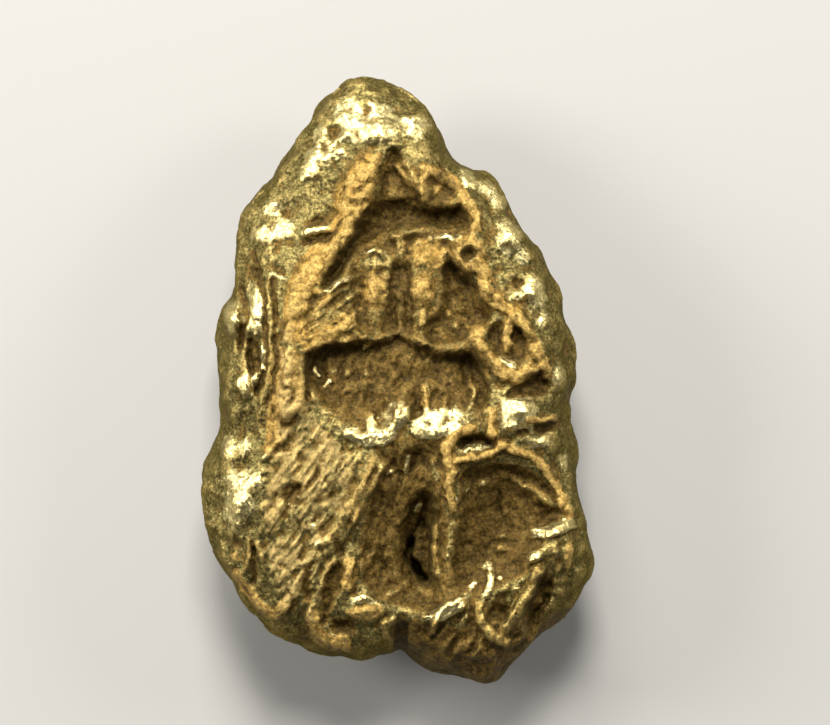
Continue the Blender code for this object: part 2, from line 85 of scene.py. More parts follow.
def curve_through(points, closed=False, spacing=0.25):
    """Points along a smooth curve through given ones."""
    p = np.array(points, float)
    if closed:
        p = np.vstack([p[-1:], p, p[:2]])
    else:
        p = np.vstack([2 * p[0] - p[1], p, 2 * p[-1] - p[-2]])
    made = []
    for a, b, c, d in zip(p, p[1:], p[2:], p[3:]):
        t = np.arange(0, 1, spacing / max(spacing, np.hypot(*(c - b))))[:, None]
        linear = t * (c - a)
        square = t**2 * (2 * a - 5 * b + 4 * c - d)
        cube = t**3 * (3 * b - a - 3 * c + d)
        made.append(b + (linear + square + cube) / 2)
    return np.vstack(made + [made[0][:1] if closed else p[-2:-1]])


def soft_step(low, high, value):
    t = np.clip((value - low) / (high - low), 0.0, 1.0)
    return t * t * (3 - 2 * t)


def nearest(xy, line):
    """How far a line is from each point, the step to it, how far along that is, and its length."""
    far = np.full(len(xy), np.inf)
    step = np.zeros_like(xy)
    along = np.zeros(len(xy))
    start = 0.0
    for a, b in zip(line, line[1:]):
        length = np.hypot(*(b - a)) + 1e-9
        t = np.clip((xy - a) @ (b - a) / length**2, 0, 1)
        to = a + t[:, None] * (b - a) - xy
        distance = np.hypot(to[:, 0], to[:, 1])
        closer = distance < far
        far[closer] = distance[closer]
        step[closer] = to[closer]
        along[closer] = start + t[closer] * length
        start += length
    return far, step, along, start


def inside(xy, loop):
    """True for each point that a closed loop holds."""
    held = np.zeros(len(xy), bool)
    for (ax, ay), (bx, by) in zip(loop, loop[1:]):
        spans = (ay > xy[:, 1]) != (by > xy[:, 1])
        crossing = ax + (xy[:, 1] - ay) * (bx - ax) / (by - ay + 1e-12)
        held ^= spans & (xy[:, 0] < crossing)
    return held


def near(xy, line, reach=0.0):
    """Which points lie in a line's box, grown by reach."""
    return np.where(np.all((xy > line.min(0) - reach) & (xy < line.max(0) + reach), axis=1))[0]


RIDGE_SIDE = (0.6, 1.4)  # where a ridge's side starts and ends, in its widths from its line
RIDGE_END = (-0.5, 1.5)  # where its height starts and is full, in its widths from each end


def ridge(xy, width, points):
    """How much of a rounded ridge each point has, 0 to 1. Width is to one side of its line."""
    line = curve_through(points, spacing=0.15)
    share = np.zeros(len(xy))
    here = near(xy, line, RIDGE_SIDE[1] * width)
    far, _, along, length = nearest(xy[here], line)
    ends = soft_step(RIDGE_END[0] * width, RIDGE_END[1] * width, np.minimum(along, length - along))
    share[here] = (1 - soft_step(RIDGE_SIDE[0] * width, RIDGE_SIDE[1] * width, far)) * ends
    return share


def ground(xy, wall, points, bank=1.0):
    """How far each point is inside a loop, 0 to 1. The wall is bank times as wide on its -Y side."""
    loop = curve_through(points, closed=True)
    share = np.zeros(len(xy))
    here = near(xy, loop)
    here = here[inside(xy[here], loop)]
    far, step, _, _ = nearest(xy[here], loop)
    below = np.clip(-step[:, 1] / (far + 1e-9), 0, 1) ** 2
    share[here] = soft_step(0, wall * (1 + (bank - 1) * below), far)
    return share


BOSS_SKIRT = 1.3  # how far out a lump's foot is, in its radii


def boss(xy, radii, centre, turn=0):
    """How much of a round lump each point has, 0 to 1. Turn is in degrees."""
    angle = np.radians(turn)
    offset = xy - np.array(centre)
    u = (offset[:, 0] * np.cos(angle) + offset[:, 1] * np.sin(angle)) / radii[0]
    v = (offset[:, 1] * np.cos(angle) - offset[:, 0] * np.sin(angle)) / radii[1]
    return 1 - soft_step(0.0, BOSS_SKIRT, np.hypot(u, v))


# The relief is drawn a little larger than it lies, and a little off to the side.
RELIEF_SPREAD = 1.028
RELIEF_SHIFT = (0.04, 0.05)


def drawn_at(xy):
    """Where a place on the nugget is in the rows below."""
    return xy * RELIEF_SPREAD + np.array(RELIEF_SHIFT)


# The relief of the top. Each row is its height, its finish, its wall or width, its outline or
# line, and how many times as wide its -Y wall is, where that differs. A finish of 1 is rubbed tan,
# -1 is deep in brown earth, and deeper finishes go near black, partly as painted shade. 0 is bare
# metal, which takes a polish where it is raised, with a painted highlight there.
GROUNDS = [
    # the worn ground along the left, which stands over the flank
    (0.22, 0.4, 0.35, [
        (-0.7, 9.2), (-0.5, 6.5), (-1.6, 5.2), (-2.0, 3.0), (-0.9, 1.6), (-3.2, 0.8), (-3.6, -1.0),
        (-4.4, -1.8), (-5.0, -0.8), (-4.8, 0.8), (-4.6, 2.6), (-4.4, 4.0), (-3.8, 4.8), (-2.9, 5.6),
        (-2.3, 6.4), (-2.6, 7.4), (-2.3, 8.1), (-1.6, 8.8),
    ]),
    # the brown ground that holds all the middle hollows
    (0.0, -0.45, 0.3, [
        (-0.5, 9.1), (0.8, 8.7), (1.7, 7.9), (3.0, 7.2), (3.2, 6.0), (2.6, 5.5), (2.5, 4.6),
        (3.4, 3.8), (4.0, 2.6), (3.4, 1.4), (3.7, 0.4), (3.9, -0.6), (3.3, -1.0), (0.8, -0.9),
        (-0.6, -1.3), (-2.1, -1.2), (-3.2, -0.8), (-3.8, 0.4), (-3.4, 1.0), (-2.2, 1.4),
        (-1.8, 2.6), (-2.0, 3.6), (-2.8, 3.3), (-3.2, 3.7), (-2.6, 4.8), (-1.9, 6.0), (-1.2, 7.2),
    ]),
    # the broad worn triangle at the head of the main ridge
    (0.12, 0.95, 0.2, [
        (-0.7, 9.3), (-0.6, 8.6), (-0.9, 7.6), (-1.2, 6.8), (-1.7, 6.2), (-2.3, 6.2), (-2.6, 7.0),
        (-2.6, 7.6), (-2.2, 8.1), (-1.4, 8.7),
    ]),
    # the upper valley, and its deep floor with an arm down to the left
    (-0.6, -0.55, 0.5, [
        (-0.2, 9.5), (0.8, 8.5), (1.2, 7.3), (2.7, 7.1), (3.1, 6.2), (2.8, 5.9), (1.4, 5.85),
        (0.2, 5.8), (-0.2, 5.3), (-1.4, 5.1), (-1.9, 4.4), (-2.6, 3.6), (-3.2, 3.6), (-3.0, 4.4),
        (-2.3, 5.4), (-1.8, 6.2), (-1.1, 7.3), (-0.7, 8.5),
    ], 1.2),
    (-0.5, -1.3, 0.6, [
        (-1.0, 7.2), (0.2, 7.5), (0.8, 7.3), (1.4, 7.1), (2.7, 7.1), (3.1, 6.2), (2.8, 5.9),
        (1.4, 5.85), (0.2, 5.9), (-1.3, 5.3), (-1.9, 4.4), (-2.6, 3.6), (-3.2, 3.6), (-3.0, 4.4),
        (-2.3, 5.4), (-1.7, 6.2),
    ], 1.2),
    # the terrace below it, in two halves
    (-0.35, -0.4, 0.35, [
        (-2.0, 4.7), (-1.4, 5.5), (-0.3, 5.8), (1.6, 6.2), (2.6, 6.0), (2.4, 4.8), (3.3, 3.9),
        (3.9, 2.6), (3.2, 1.6), (0.2, 1.4), (-1.6, 1.8), (-1.9, 3.0),
    ], 1.6),
    # the pocket between the middle bumps and the right ridge
    (-0.45, -0.6, 0.4, [
        (1.8, 4.5), (2.4, 4.9), (3.2, 4.1), (3.4, 3.2), (4.0, 2.5), (3.4, 1.9), (2.4, 1.3),
        (1.3, 1.3), (1.1, 2.2), (1.7, 3.1),
    ], 1.3),
    # the basin across the middle, with a cliff above and a long bank below
    (-0.8, -0.7, 0.35, [
        (-3.9, 0.9), (-3.2, 1.4), (-2.1, 1.6), (-0.8, 1.7), (0.1, 1.9), (0.9, 1.6), (1.8, 1.2),
        (3.1, 1.2), (3.6, 0.4), (3.9, -0.5), (3.6, -1.4), (2.6, -1.7), (0.8, -1.9), (0.2, -1.3),
        (-0.6, -2.2), (-2.1, -2.0), (-3.1, -1.2), (-3.7, -0.2),
    ], 4.0),
    # the lower valley, falling south from the bank, and the gorge in it
    (-0.75, -0.7, 1.3, [
        (-0.8, -2.6), (1.7, -2.3), (2.0, -3.6), (2.2, -5.6), (2.2, -8.8), (1.2, -9.6), (-0.4, -9.2),
        (-1.6, -8.3), (-1.9, -6.6), (-1.5, -4.8), (-1.1, -3.4),
    ], 0.7),
    (-0.9, -1.0, 0.9, [
        (1.1, -4.2), (1.9, -4.6), (2.1, -6.0), (2.0, -7.6), (1.6, -8.6), (0.6, -8.7), (-0.2, -7.7),
        (-0.2, -6.0), (0.3, -4.9),
    ], 1.2),
    # the round bowl at the lower right, deepest in its middle, and the pale lobe in it
    (-0.55, -0.8, 0.6, [
        (2.4, -3.7), (3.2, -3.3), (4.5, -3.1), (5.7, -3.6), (6.5, -4.5), (6.8, -5.5), (6.4, -6.3),
        (5.8, -7.1), (5.1, -8.1), (4.0, -8.6), (2.9, -8.8), (2.2, -8.4), (2.1, -7.0), (2.4, -5.2),
    ], 1.6),
    (-0.4, -0.1, 1.5, [
        (3.0, -4.0), (4.6, -3.7), (5.5, -4.7), (5.6, -6.3), (4.8, -7.6), (3.4, -8.2), (2.5, -7.6),
        (2.5, -5.6),
    ]),
    (0.45, 0.4, 0.4, [
        (4.5, -3.9), (5.3, -3.9), (6.1, -4.3), (6.7, -5.1), (6.2, -5.4), (5.7, -5.0), (5.2, -4.6),
    ]),
    # the shelf over the bowl, a pocket at each side of the boss, one on the left flank
    (-0.45, -0.8, 0.22, [(2.4, -2.3), (3.3, -2.1), (4.1, -2.3), (4.1, -2.8), (2.5, -2.8)]),
    (-0.4, -0.8, 0.45, [(4.5, -0.2), (5.5, 0.4), (6.3, 0.0), (6.1, -0.7), (4.4, -0.8)]),
    (-0.4, -0.7, 0.25, [(5.5, -1.7), (6.6, -1.6), (6.6, -2.0), (5.6, -2.2)]),
    (-0.3, -0.7, 0.25, [(-6.15, 1.7), (-5.65, 1.7), (-5.55, 0.3), (-6.1, 0.2)]),
    # the brown inside of the hook, and the earthy ground beside the valley's arm
    (-0.15, -0.55, 0.2, [
        (3.6, 2.3), (3.7, 1.4), (4.2, 0.8), (4.8, 0.5), (5.2, 0.8), (5.3, 1.6), (5.0, 2.2),
        (4.4, 2.4),
    ]),
    (0.0, -0.25, 0.4, [(-3.6, 1.6), (-2.9, 3.2), (-1.9, 3.9), (-1.4, 2.6), (-2.2, 1.8)]),
    # the bright bent step of the narrow end, open towards the tip
    (-0.35, 0.0, 0.3, [
        (-3.0, 11.8), (-2.8, 12.8), (0.2, 13.0), (1.8, 12.2), (1.6, 11.1), (1.0, 10.6), (0.3, 10.5),
        (-0.4, 10.2), (-1.3, 10.1), (-2.0, 10.5), (-2.6, 11.2),
    ], 3.0),
    # the terrace's two worn patches
    (0.1, 0.25, 0.25, [(-1.5, 4.5), (-1.2, 5.1), (-0.4, 5.3), (-0.1, 4.8), (-0.4, 4.4)]),
    (0.1, 0.6, 0.2, [(0.7, 4.6), (0.6, 5.4), (0.9, 5.8), (1.9, 5.8), (2.1, 5.2), (1.9, 4.5)]),
    # ground that is only coloured: worn tan between the streaks, earth under the lobes
    (0.0, 0.34, 0.8, [
        (-4.8, 1.0), (-3.6, -0.8), (-2.2, -2.4), (-1.4, -3.8), (-1.9, -5.4), (-2.8, -7.0),
        (-3.4, -8.6), (-4.6, -8.8), (-5.6, -7.0), (-5.6, -4.0), (-5.2, -1.6),
    ]),
    (0.0, -0.7, 1.0, [
        (0.2, -9.4), (2.6, -9.6), (3.6, -8.9), (5.6, -9.4), (6.6, -9.0), (7.6, -9.4), (5.6, -12.0),
        (3.0, -12.8), (0.2, -11.6),
    ]),
    (0.0, -0.5, 0.7, [
        (-1.0, -2.4), (1.9, -2.1), (2.1, -3.6), (2.0, -5.6), (0.2, -5.2), (-0.8, -4.4),
    ]),
    (0.0, -0.6, 0.3, [(1.5, -5.4), (2.4, -5.6), (2.7, -7.0), (2.6, -8.8), (1.4, -8.8)]),
    (0.0, -0.15, 0.6, [
        (-4.2, -10.0), (-3.2, -10.3), (-1.8, -10.8), (0.2, -10.6), (0.6, -12.0), (-4.0, -12.0),
    ]),
    # the pocket in the lower left lobe
    (-0.45, -0.8, 0.45, [(-2.8, -9.5), (-1.7, -9.6), (-1.7, -10.4), (-2.6, -10.3)]),
]

RIDGES = [
    # the broad main ridge down the left of the top, its branch and its lower end
    (0.16, 1.0, 0.45, [
        (-0.8, 9.0), (-1.5, 8.1), (-1.9, 7.0), (-2.2, 6.1), (-2.7, 5.5), (-3.3, 4.8), (-3.9, 3.9),
        (-4.1, 2.8), (-4.1, 1.4),
    ]),
    (0.18, 0.9, 0.3, [(-3.9, 1.3), (-3.0, 1.7), (-2.3, 2.2), (-1.7, 2.6)]),
    (0.14, 0.8, 0.4, [(-4.4, 1.4), (-4.7, 0.0), (-4.8, -1.6), (-5.0, -3.2)]),
    # the rim at the upper right, a lobe hanging from it, and the ridge inside the valley
    (0.2, 1.0, 0.2, [(0.9, 8.6), (1.7, 8.4), (2.4, 7.9), (2.8, 7.3), (3.2, 6.6), (3.2, 5.9)]),
    (0.28, 0.9, 0.2, [(1.1, 8.4), (1.2, 7.1)]),
    (0.35, 0.5, 0.25, [(0.0, 8.9), (0.4, 8.3), (0.8, 7.7)]),
    # the right ridge and the hook that folds back from it
    (0.18, 1.0, 0.24, [
        (3.2, 4.7), (3.6, 4.3), (3.5, 3.7), (3.9, 3.2), (4.6, 2.8), (5.1, 2.3), (5.4, 1.7),
        (5.7, 1.1), (6.0, 0.5), (6.2, 0.0),
    ]),
    (0.28, 1.0, 0.25, [
        (3.3, 2.4), (3.25, 1.6), (3.65, 1.0), (4.05, 0.5), (4.5, 0.2), (5.1, 0.2), (5.6, 0.7),
    ]),
    (0.3, 0.9, 0.2, [(4.6, 1.1), (4.4, 1.8), (4.6, 2.3), (4.9, 2.5), (5.2, 2.2), (5.2, 1.6)]),
    (-0.25, -0.5, 0.25, [(4.0, 2.3), (4.0, 1.3)]),
    # the forked ridge between the lower valley and the bowl
    (0.26, 1.0, 0.19, [
        (3.3, -1.9), (2.7, -2.1), (2.1, -2.5), (2.0, -3.0), (2.2, -3.6), (2.1, -4.3), (2.2, -4.9),
        (2.4, -5.4),
    ]),
    (0.25, 0.9, 0.15, [(2.3, -3.2), (3.5, -3.0), (4.3, -2.7)]),
    (0.3, 0.5, 0.12, [(1.6, -5.7), (1.5, -6.8), (1.6, -8.0)]),
    # the rim that runs over the bowl, and the pale lobe inside it
    (0.2, 0.9, 0.16, [
        (3.9, -1.0), (3.9, -2.0), (4.3, -2.6), (5.0, -2.9), (5.6, -3.1), (6.1, -3.6), (6.5, -4.3),
        (6.8, -5.0), (7.1, -5.6),
    ]),
    # ledges at the right, below the bowl
    (0.4, 0.0, 0.22, [(5.4, -6.2), (6.4, -6.0), (7.3, -5.7)]),
    (0.35, 0.0, 0.22, [(5.2, -7.3), (5.9, -6.9)]),
    # the ridge slanting down the lower left, and its two creases
    (0.22, 0.3, 0.35, [(-0.6, -3.0), (-1.4, -4.5), (-1.9, -5.4), (-2.4, -6.2), (-3.0, -6.9)]),
    (-0.15, -0.6, 0.35, [(-2.2, -7.4), (-2.8, -8.6), (-3.3, -9.8)]),
    (0.3, 0.6, 0.25, [(-1.9, -7.1), (-2.1, -8.6)]),
    # the rim of the lower left lobe, the cleft beside it, and the folds of the lower right lobe
    (0.35, 0.8, 0.3, [(-3.4, -9.2), (-3.4, -10.0), (-2.9, -10.5), (-1.8, -10.7)]),
    (-0.4, -0.6, 0.24, [(0.3, -9.7), (0.1, -10.4), (0.2, -11.2)]),
    (0.42, 0.0, 0.28, [(1.2, -9.8), (2.1, -9.2), (2.9, -8.8)]),
    (0.4, 0.4, 0.2, [(3.4, -8.8), (3.4, -9.6), (4.0, -10.3), (4.8, -10.6)]),
    (0.45, 0.3, 0.22, [(5.9, -7.4), (5.6, -8.1), (5.2, -8.9), (4.6, -9.7), (4.2, -10.3)]),
    (-0.45, -0.7, 0.35, [(6.1, -7.8), (5.9, -8.8), (5.3, -10.2)]),
    (-0.35, -0.6, 0.3, [(4.3, -8.9), (4.0, -9.7)]),
    # thin folds along the left flank, and the groove between the middle bumps
    (0.15, 0.1, 0.22, [(-5.4, 5.6), (-5.2, 3.6), (-5.1, 1.6), (-5.2, -0.4), (-5.4, -1.6)]),
    (-0.35, -0.9, 0.4, [(0.2, 4.9), (0.1, 3.2), (0.3, 1.6)]),
    # the slit in the floor of the gorge
    (-1.1, -1.5, 0.15, [
        (0.65, -6.3), (0.5, -6.7), (0.45, -7.1), (0.65, -7.4), (0.85, -7.7), (1.2, -8.2),
    ]),
    (-0.35, -1.1, 0.12, [(1.0, -5.5), (0.95, -5.9), (0.8, -6.2)]),
]

# Round lumps and pits: height, finish, radii, centre, and the turn of those that are turned.
BOSSES = [
    (0.35, 0.9, (0.55, 1.1), (-0.9, 3.6)),
    (0.42, 1.0, (0.6, 0.75), (1.0, 3.6)),
    (-0.35, -0.6, (0.35, 0.55), (-0.3, 2.3)),
    (-0.4, -0.8, (0.7, 0.7), (1.75, 7.7)),
    (0.35, 0.7, (0.35, 0.35), (1.6, 7.7)),
    (0.45, 0.9, (0.85, 0.85), (2.9, 5.1)),
    (-0.55, -1.4, (0.35, 0.35), (2.9, 5.1)),
    (0.5, 0.0, (1.1, 0.95), (4.9, -1.4), -20),
    (0.35, 0.6, (1.0, 0.4), (-1.3, -9.3)),
    (0.3, 0.8, (0.25, 0.5), (1.1, -0.5)),
    (-0.35, -0.5, (0.8, 0.8), (3.2, 0.5)),
    (-0.4, 0.0, (0.7, 0.7), (-1.4, 10.3)),
    (0.4, 0.0, (1.3, 0.65), (-1.0, 10.15), -15),
    (-0.35, 0.0, (0.9, 0.7), (-4.7, 6.6), 50),
    (-0.3, 0.0, (0.9, 0.6), (-6.2, -3.6), 80),
    (0.4, 0.0, (1.0, 0.8), (-6.5, -5.0), 80),
    (0.3, 0.0, (0.8, 0.7), (-6.4, 2.6), 80),
    (0.3, 0.0, (0.9, 0.6), (4.6, 5.9), -60),
    (-0.3, 0.0, (0.7, 0.5), (3.7, 7.5), -40),
    (0.3, 0.0, (0.8, 0.6), (5.6, 3.6), -60),
    (0.35, 0.2, (0.8, 0.9), (6.7, -6.9)),
]

# Forms too fine or too low for the solid: ridges and creases, then small lumps and pits.
FINE_RIDGES = [
    # ledges that face the narrow end, over the terrace and in the valley's arm
    (0.18, -0.2, 0.13, [(-1.4, 5.0), (-0.9, 5.2), (-0.4, 5.1)]),
    (0.16, 0.0, 0.12, [(1.2, 5.7), (2.0, 5.75), (2.7, 5.7)]),
    (0.2, 0.0, 0.12, [(-2.9, 3.5), (-2.4, 3.85), (-1.7, 4.15)]),
    (0.18, 0.4, 0.12, [(-0.4, 5.9), (0.1, 5.6), (0.2, 5.0)]),
    (0.15, 0.2, 0.1, [(1.8, 5.0), (2.2, 5.3)]),
    (0.18, 0.0, 0.12, [(-1.5, 1.3), (-0.9, 1.5)]),
    # creases and small folds of the left ridge
    (-0.15, -0.5, 0.12, [(-3.9, 5.5), (-3.2, 5.6), (-2.6, 5.8)]),
    (-0.07, -0.2, 0.1, [(-1.9, 7.5), (-1.3, 7.8), (-1.0, 8.1)]),
    (-0.07, -0.25, 0.1, [(-1.9, 7.1), (-1.5, 7.0), (-1.2, 7.3)]),
    (-0.14, -0.5, 0.12, [(-3.6, 3.0), (-3.2, 3.4)]),
    (0.25, 0.0, 0.16, [(-3.9, 5.9), (-3.4, 6.05), (-2.7, 6.1)]),
    # the pillar between the middle bumps, and thin upright folds beside it
    (0.15, -0.5, 0.13, [(0.1, 3.6), (0.15, 2.6), (0.1, 1.9)]),
    (-0.2, -0.8, 0.12, [(0.55, 3.4), (0.6, 2.2)]),
    (0.15, 0.4, 0.12, [(1.1, 2.9), (1.0, 2.0)]),
    (0.15, -0.2, 0.1, [(1.1, 1.9), (1.6, 2.0), (2.2, 1.7)]),
    # the foot of the basin's bank, and the two bright facets over it
    (0.2, -0.6, 0.7, [(-2.8, -0.7), (-0.8, -0.9), (0.8, -0.8), (2.8, -0.6)]),
    (0.05, 0.0, 0.45, [(-1.4, -1.9), (-0.6, -1.75), (0.0, -1.2), (0.2, -0.8)]),
    (0.05, 0.0, 0.35, [(0.6, -1.35), (1.3, -1.5), (2.1, -1.4), (2.7, -1.2)]),
    (0.15, 0.0, 0.25, [(-2.2, -2.05), (-1.2, -2.35), (-0.4, -2.3), (0.1, -1.7), (0.3, -1.2)]),
    (0.15, 0.0, 0.25, [(0.6, -1.9), (1.3, -2.1), (2.1, -2.0), (2.8, -1.7)]),
    # folds on the basin's floor
    (0.25, 0.5, 0.16, [(1.1, 0.0), (1.25, -0.5), (1.0, -1.2)]),
    (0.16, 0.1, 0.09, [(3.0, 0.0), (3.15, -0.6), (2.9, -1.2)]),
    (0.12, 0.0, 0.09, [(-3.0, -0.3), (-2.7, 0.0)]),
    (0.12, 0.0, 0.09, [(-3.4, 0.5), (-3.1, 0.1)]),
    (-0.2, -1.0, 0.13, [(-3.6, 0.7), (-3.6, -0.8)]),
    (0.1, -0.3, 0.1, [(1.6, -0.1), (1.9, -0.5), (1.9, -1.0)]),
    (0.1, -0.3, 0.1, [(2.1, 0.1), (2.4, -0.4), (2.4, -0.9)]),
    (0.1, -0.3, 0.1, [(-0.2, 0.6), (0.0, 0.0)]),
    # curls inside the hook, and the line under it
    (0.2, 0.0, 0.12, [(4.1, 1.0), (4.5, 0.7), (4.9, 0.5)]),
    (0.15, 0.2, 0.09, [(3.7, 1.4), (4.0, 1.35)]),
    (-0.1, -0.6, 0.12, [(4.9, 2.1), (5.0, 1.3)]),
    (0.12, 0.1, 0.1, [(4.2, -0.5), (4.7, -0.3), (5.1, 0.0)]),
    # the right boss: its left edge, the tan band over its lower pocket
    (0.2, 0.3, 0.15, [(3.6, -0.9), (3.75, -1.8), (4.1, -2.4)]),
    (0.2, 0.8, 0.14, [(5.2, -1.6), (5.9, -1.55), (6.6, -1.5)]),
    # the bright bar on the shelf over the bowl
    (0.3, 0.0, 0.12, [(2.6, -2.75), (3.3, -2.65), (4.1, -2.6)]),
    # thin upright folds in the lower valley and along the gorge
    (0.15, 0.1, 0.1, [(1.4, -3.2), (1.6, -4.1)]),
    (0.12, 0.0, 0.1, [(0.5, -2.9), (0.3, -3.8)]),
    (0.1, 0.1, 0.12, [(2.2, -5.9), (2.2, -7.2)]),
    (0.15, 0.0, 0.1, [(1.0, -4.9), (0.8, -5.4)]),
    (-0.18, -0.8, 0.12, [(4.1, -4.2), (4.2, -5.4)]),
    # flecks and curls on the bowl's floor and its lower bank
    (0.2, 0.2, 0.1, [(4.1, -6.35), (4.5, -6.3)]),
    (0.22, 0.7, 0.12, [(4.0, -6.8), (4.5, -6.75)]),
    (0.2, 0.0, 0.12, [(2.9, -8.4), (3.3, -8.0)]),
    (0.22, 0.0, 0.13, [(3.4, -7.5), (3.8, -7.5), (3.8, -8.2), (3.5, -8.7)]),
    (0.2, 0.1, 0.12, [(4.3, -8.5), (4.7, -8.1)]),
    (0.2, 0.6, 0.16, [(7.0, -6.5), (7.0, -7.6)]),
    (-0.15, -0.5, 0.12, [(6.7, -6.4), (6.6, -7.4)]),
    (0.18, 0.4, 0.15, [(6.4, -8.5), (7.0, -8.7)]),
    # the lower lobes
    (0.2, 0.0, 0.14, [(-1.9, -8.9), (-1.3, -8.75), (-0.9, -8.9)]),
    (0.15, 0.4, 0.1, [(-0.5, -8.7), (0.1, -8.4)]),
    (0.2, 0.7, 0.14, [(1.6, -9.6), (1.4, -10.3)]),
    (0.2, 0.1, 0.15, [(1.0, -9.2), (1.1, -9.8)]),
    (0.2, 0.3, 0.15, [(-0.6, -10.0), (0.0, -9.6)]),
    (0.15, 0.5, 0.12, [(-0.6, -9.6), (-0.4, -10.5)]),
    (-0.2, -0.7, 0.13, [(6.2, -8.6), (5.8, -9.6)]),
    # the crack low on the left flank, with a lip at each side, and the tan lip below it
    (-0.25, -0.7, 0.1, [(-5.8, -6.6), (-5.85, -8.3)]),
    (0.15, 0.3, 0.1, [(-6.0, -6.3), (-6.1, -7.3), (-6.3, -7.9)]),
    (0.15, 0.3, 0.1, [(-5.7, -6.4), (-5.4, -7.3)]),
    (0.18, 0.9, 0.2, [(-6.8, -7.6), (-6.1, -8.5), (-5.4, -9.3), (-4.8, -9.3), (-4.1, -8.4)]),
    # thin folds that run along the left flank, and the deep groove between its lobes
    (0.1, 0.2, 0.12, [
        (-5.7, 5.4), (-5.5, 4.2), (-5.2, 3.3), (-5.2, 1.9), (-5.1, 1.1), (-5.2, 0.2), (-5.5, -0.6),
        (-5.6, -1.6),
    ]),
    (-0.25, -0.9, 0.08, [
        (-5.9, 5.2), (-5.7, 4.1), (-5.4, 3.2), (-5.35, 1.9), (-5.3, 1.1), (-5.4, 0.2), (-5.7, -0.6),
    ]),
    (-0.12, -0.7, 0.08, [
        (-5.1, 4.2), (-4.9, 2.9), (-5.0, 1.9), (-4.9, 0.9), (-5.0, -0.2), (-5.3, -1.0),
    ]),
    (-0.35, -0.9, 0.13, [(-6.4, 3.8), (-6.25, 3.0), (-6.3, 1.7), (-6.4, 1.2)]),
    (-0.2, -0.6, 0.12, [(-6.1, 4.7), (-5.9, 4.1)]),
    (0.2, 0.0, 0.1, [(-5.45, 1.6), (-5.4, 0.3)]),
    (0.35, 0.0, 0.25, [(-6.3, 0.3), (-6.15, -0.2), (-5.9, -0.7)]),
    (0.2, 0.0, 0.12, [(-5.5, -3.3), (-5.1, -2.8), (-4.9, -2.3)]),
    # the polish on the narrow end's step, and the step beside it
    (0.08, 0.0, 0.6, [(-2.4, 11.3), (-2.1, 10.8), (-1.7, 10.3), (-1.1, 10.1), (-0.5, 10.1)]),
    (0.15, 0.0, 0.3, [(-1.3, 11.0), (-0.7, 10.9), (-0.2, 10.8)]),
    # the thin folds of the lower left
    (0.16, 0.3, 0.13, [(-2.5, -7.1), (-3.1, -8.3), (-3.2, -9.2)]),
    (-0.2, -0.5, 0.15, [(-2.5, -6.3), (-2.2, -7.1)]),
    (-0.15, -0.4, 0.14, [(-3.6, -7.6), (-3.7, -9.0)]),
]

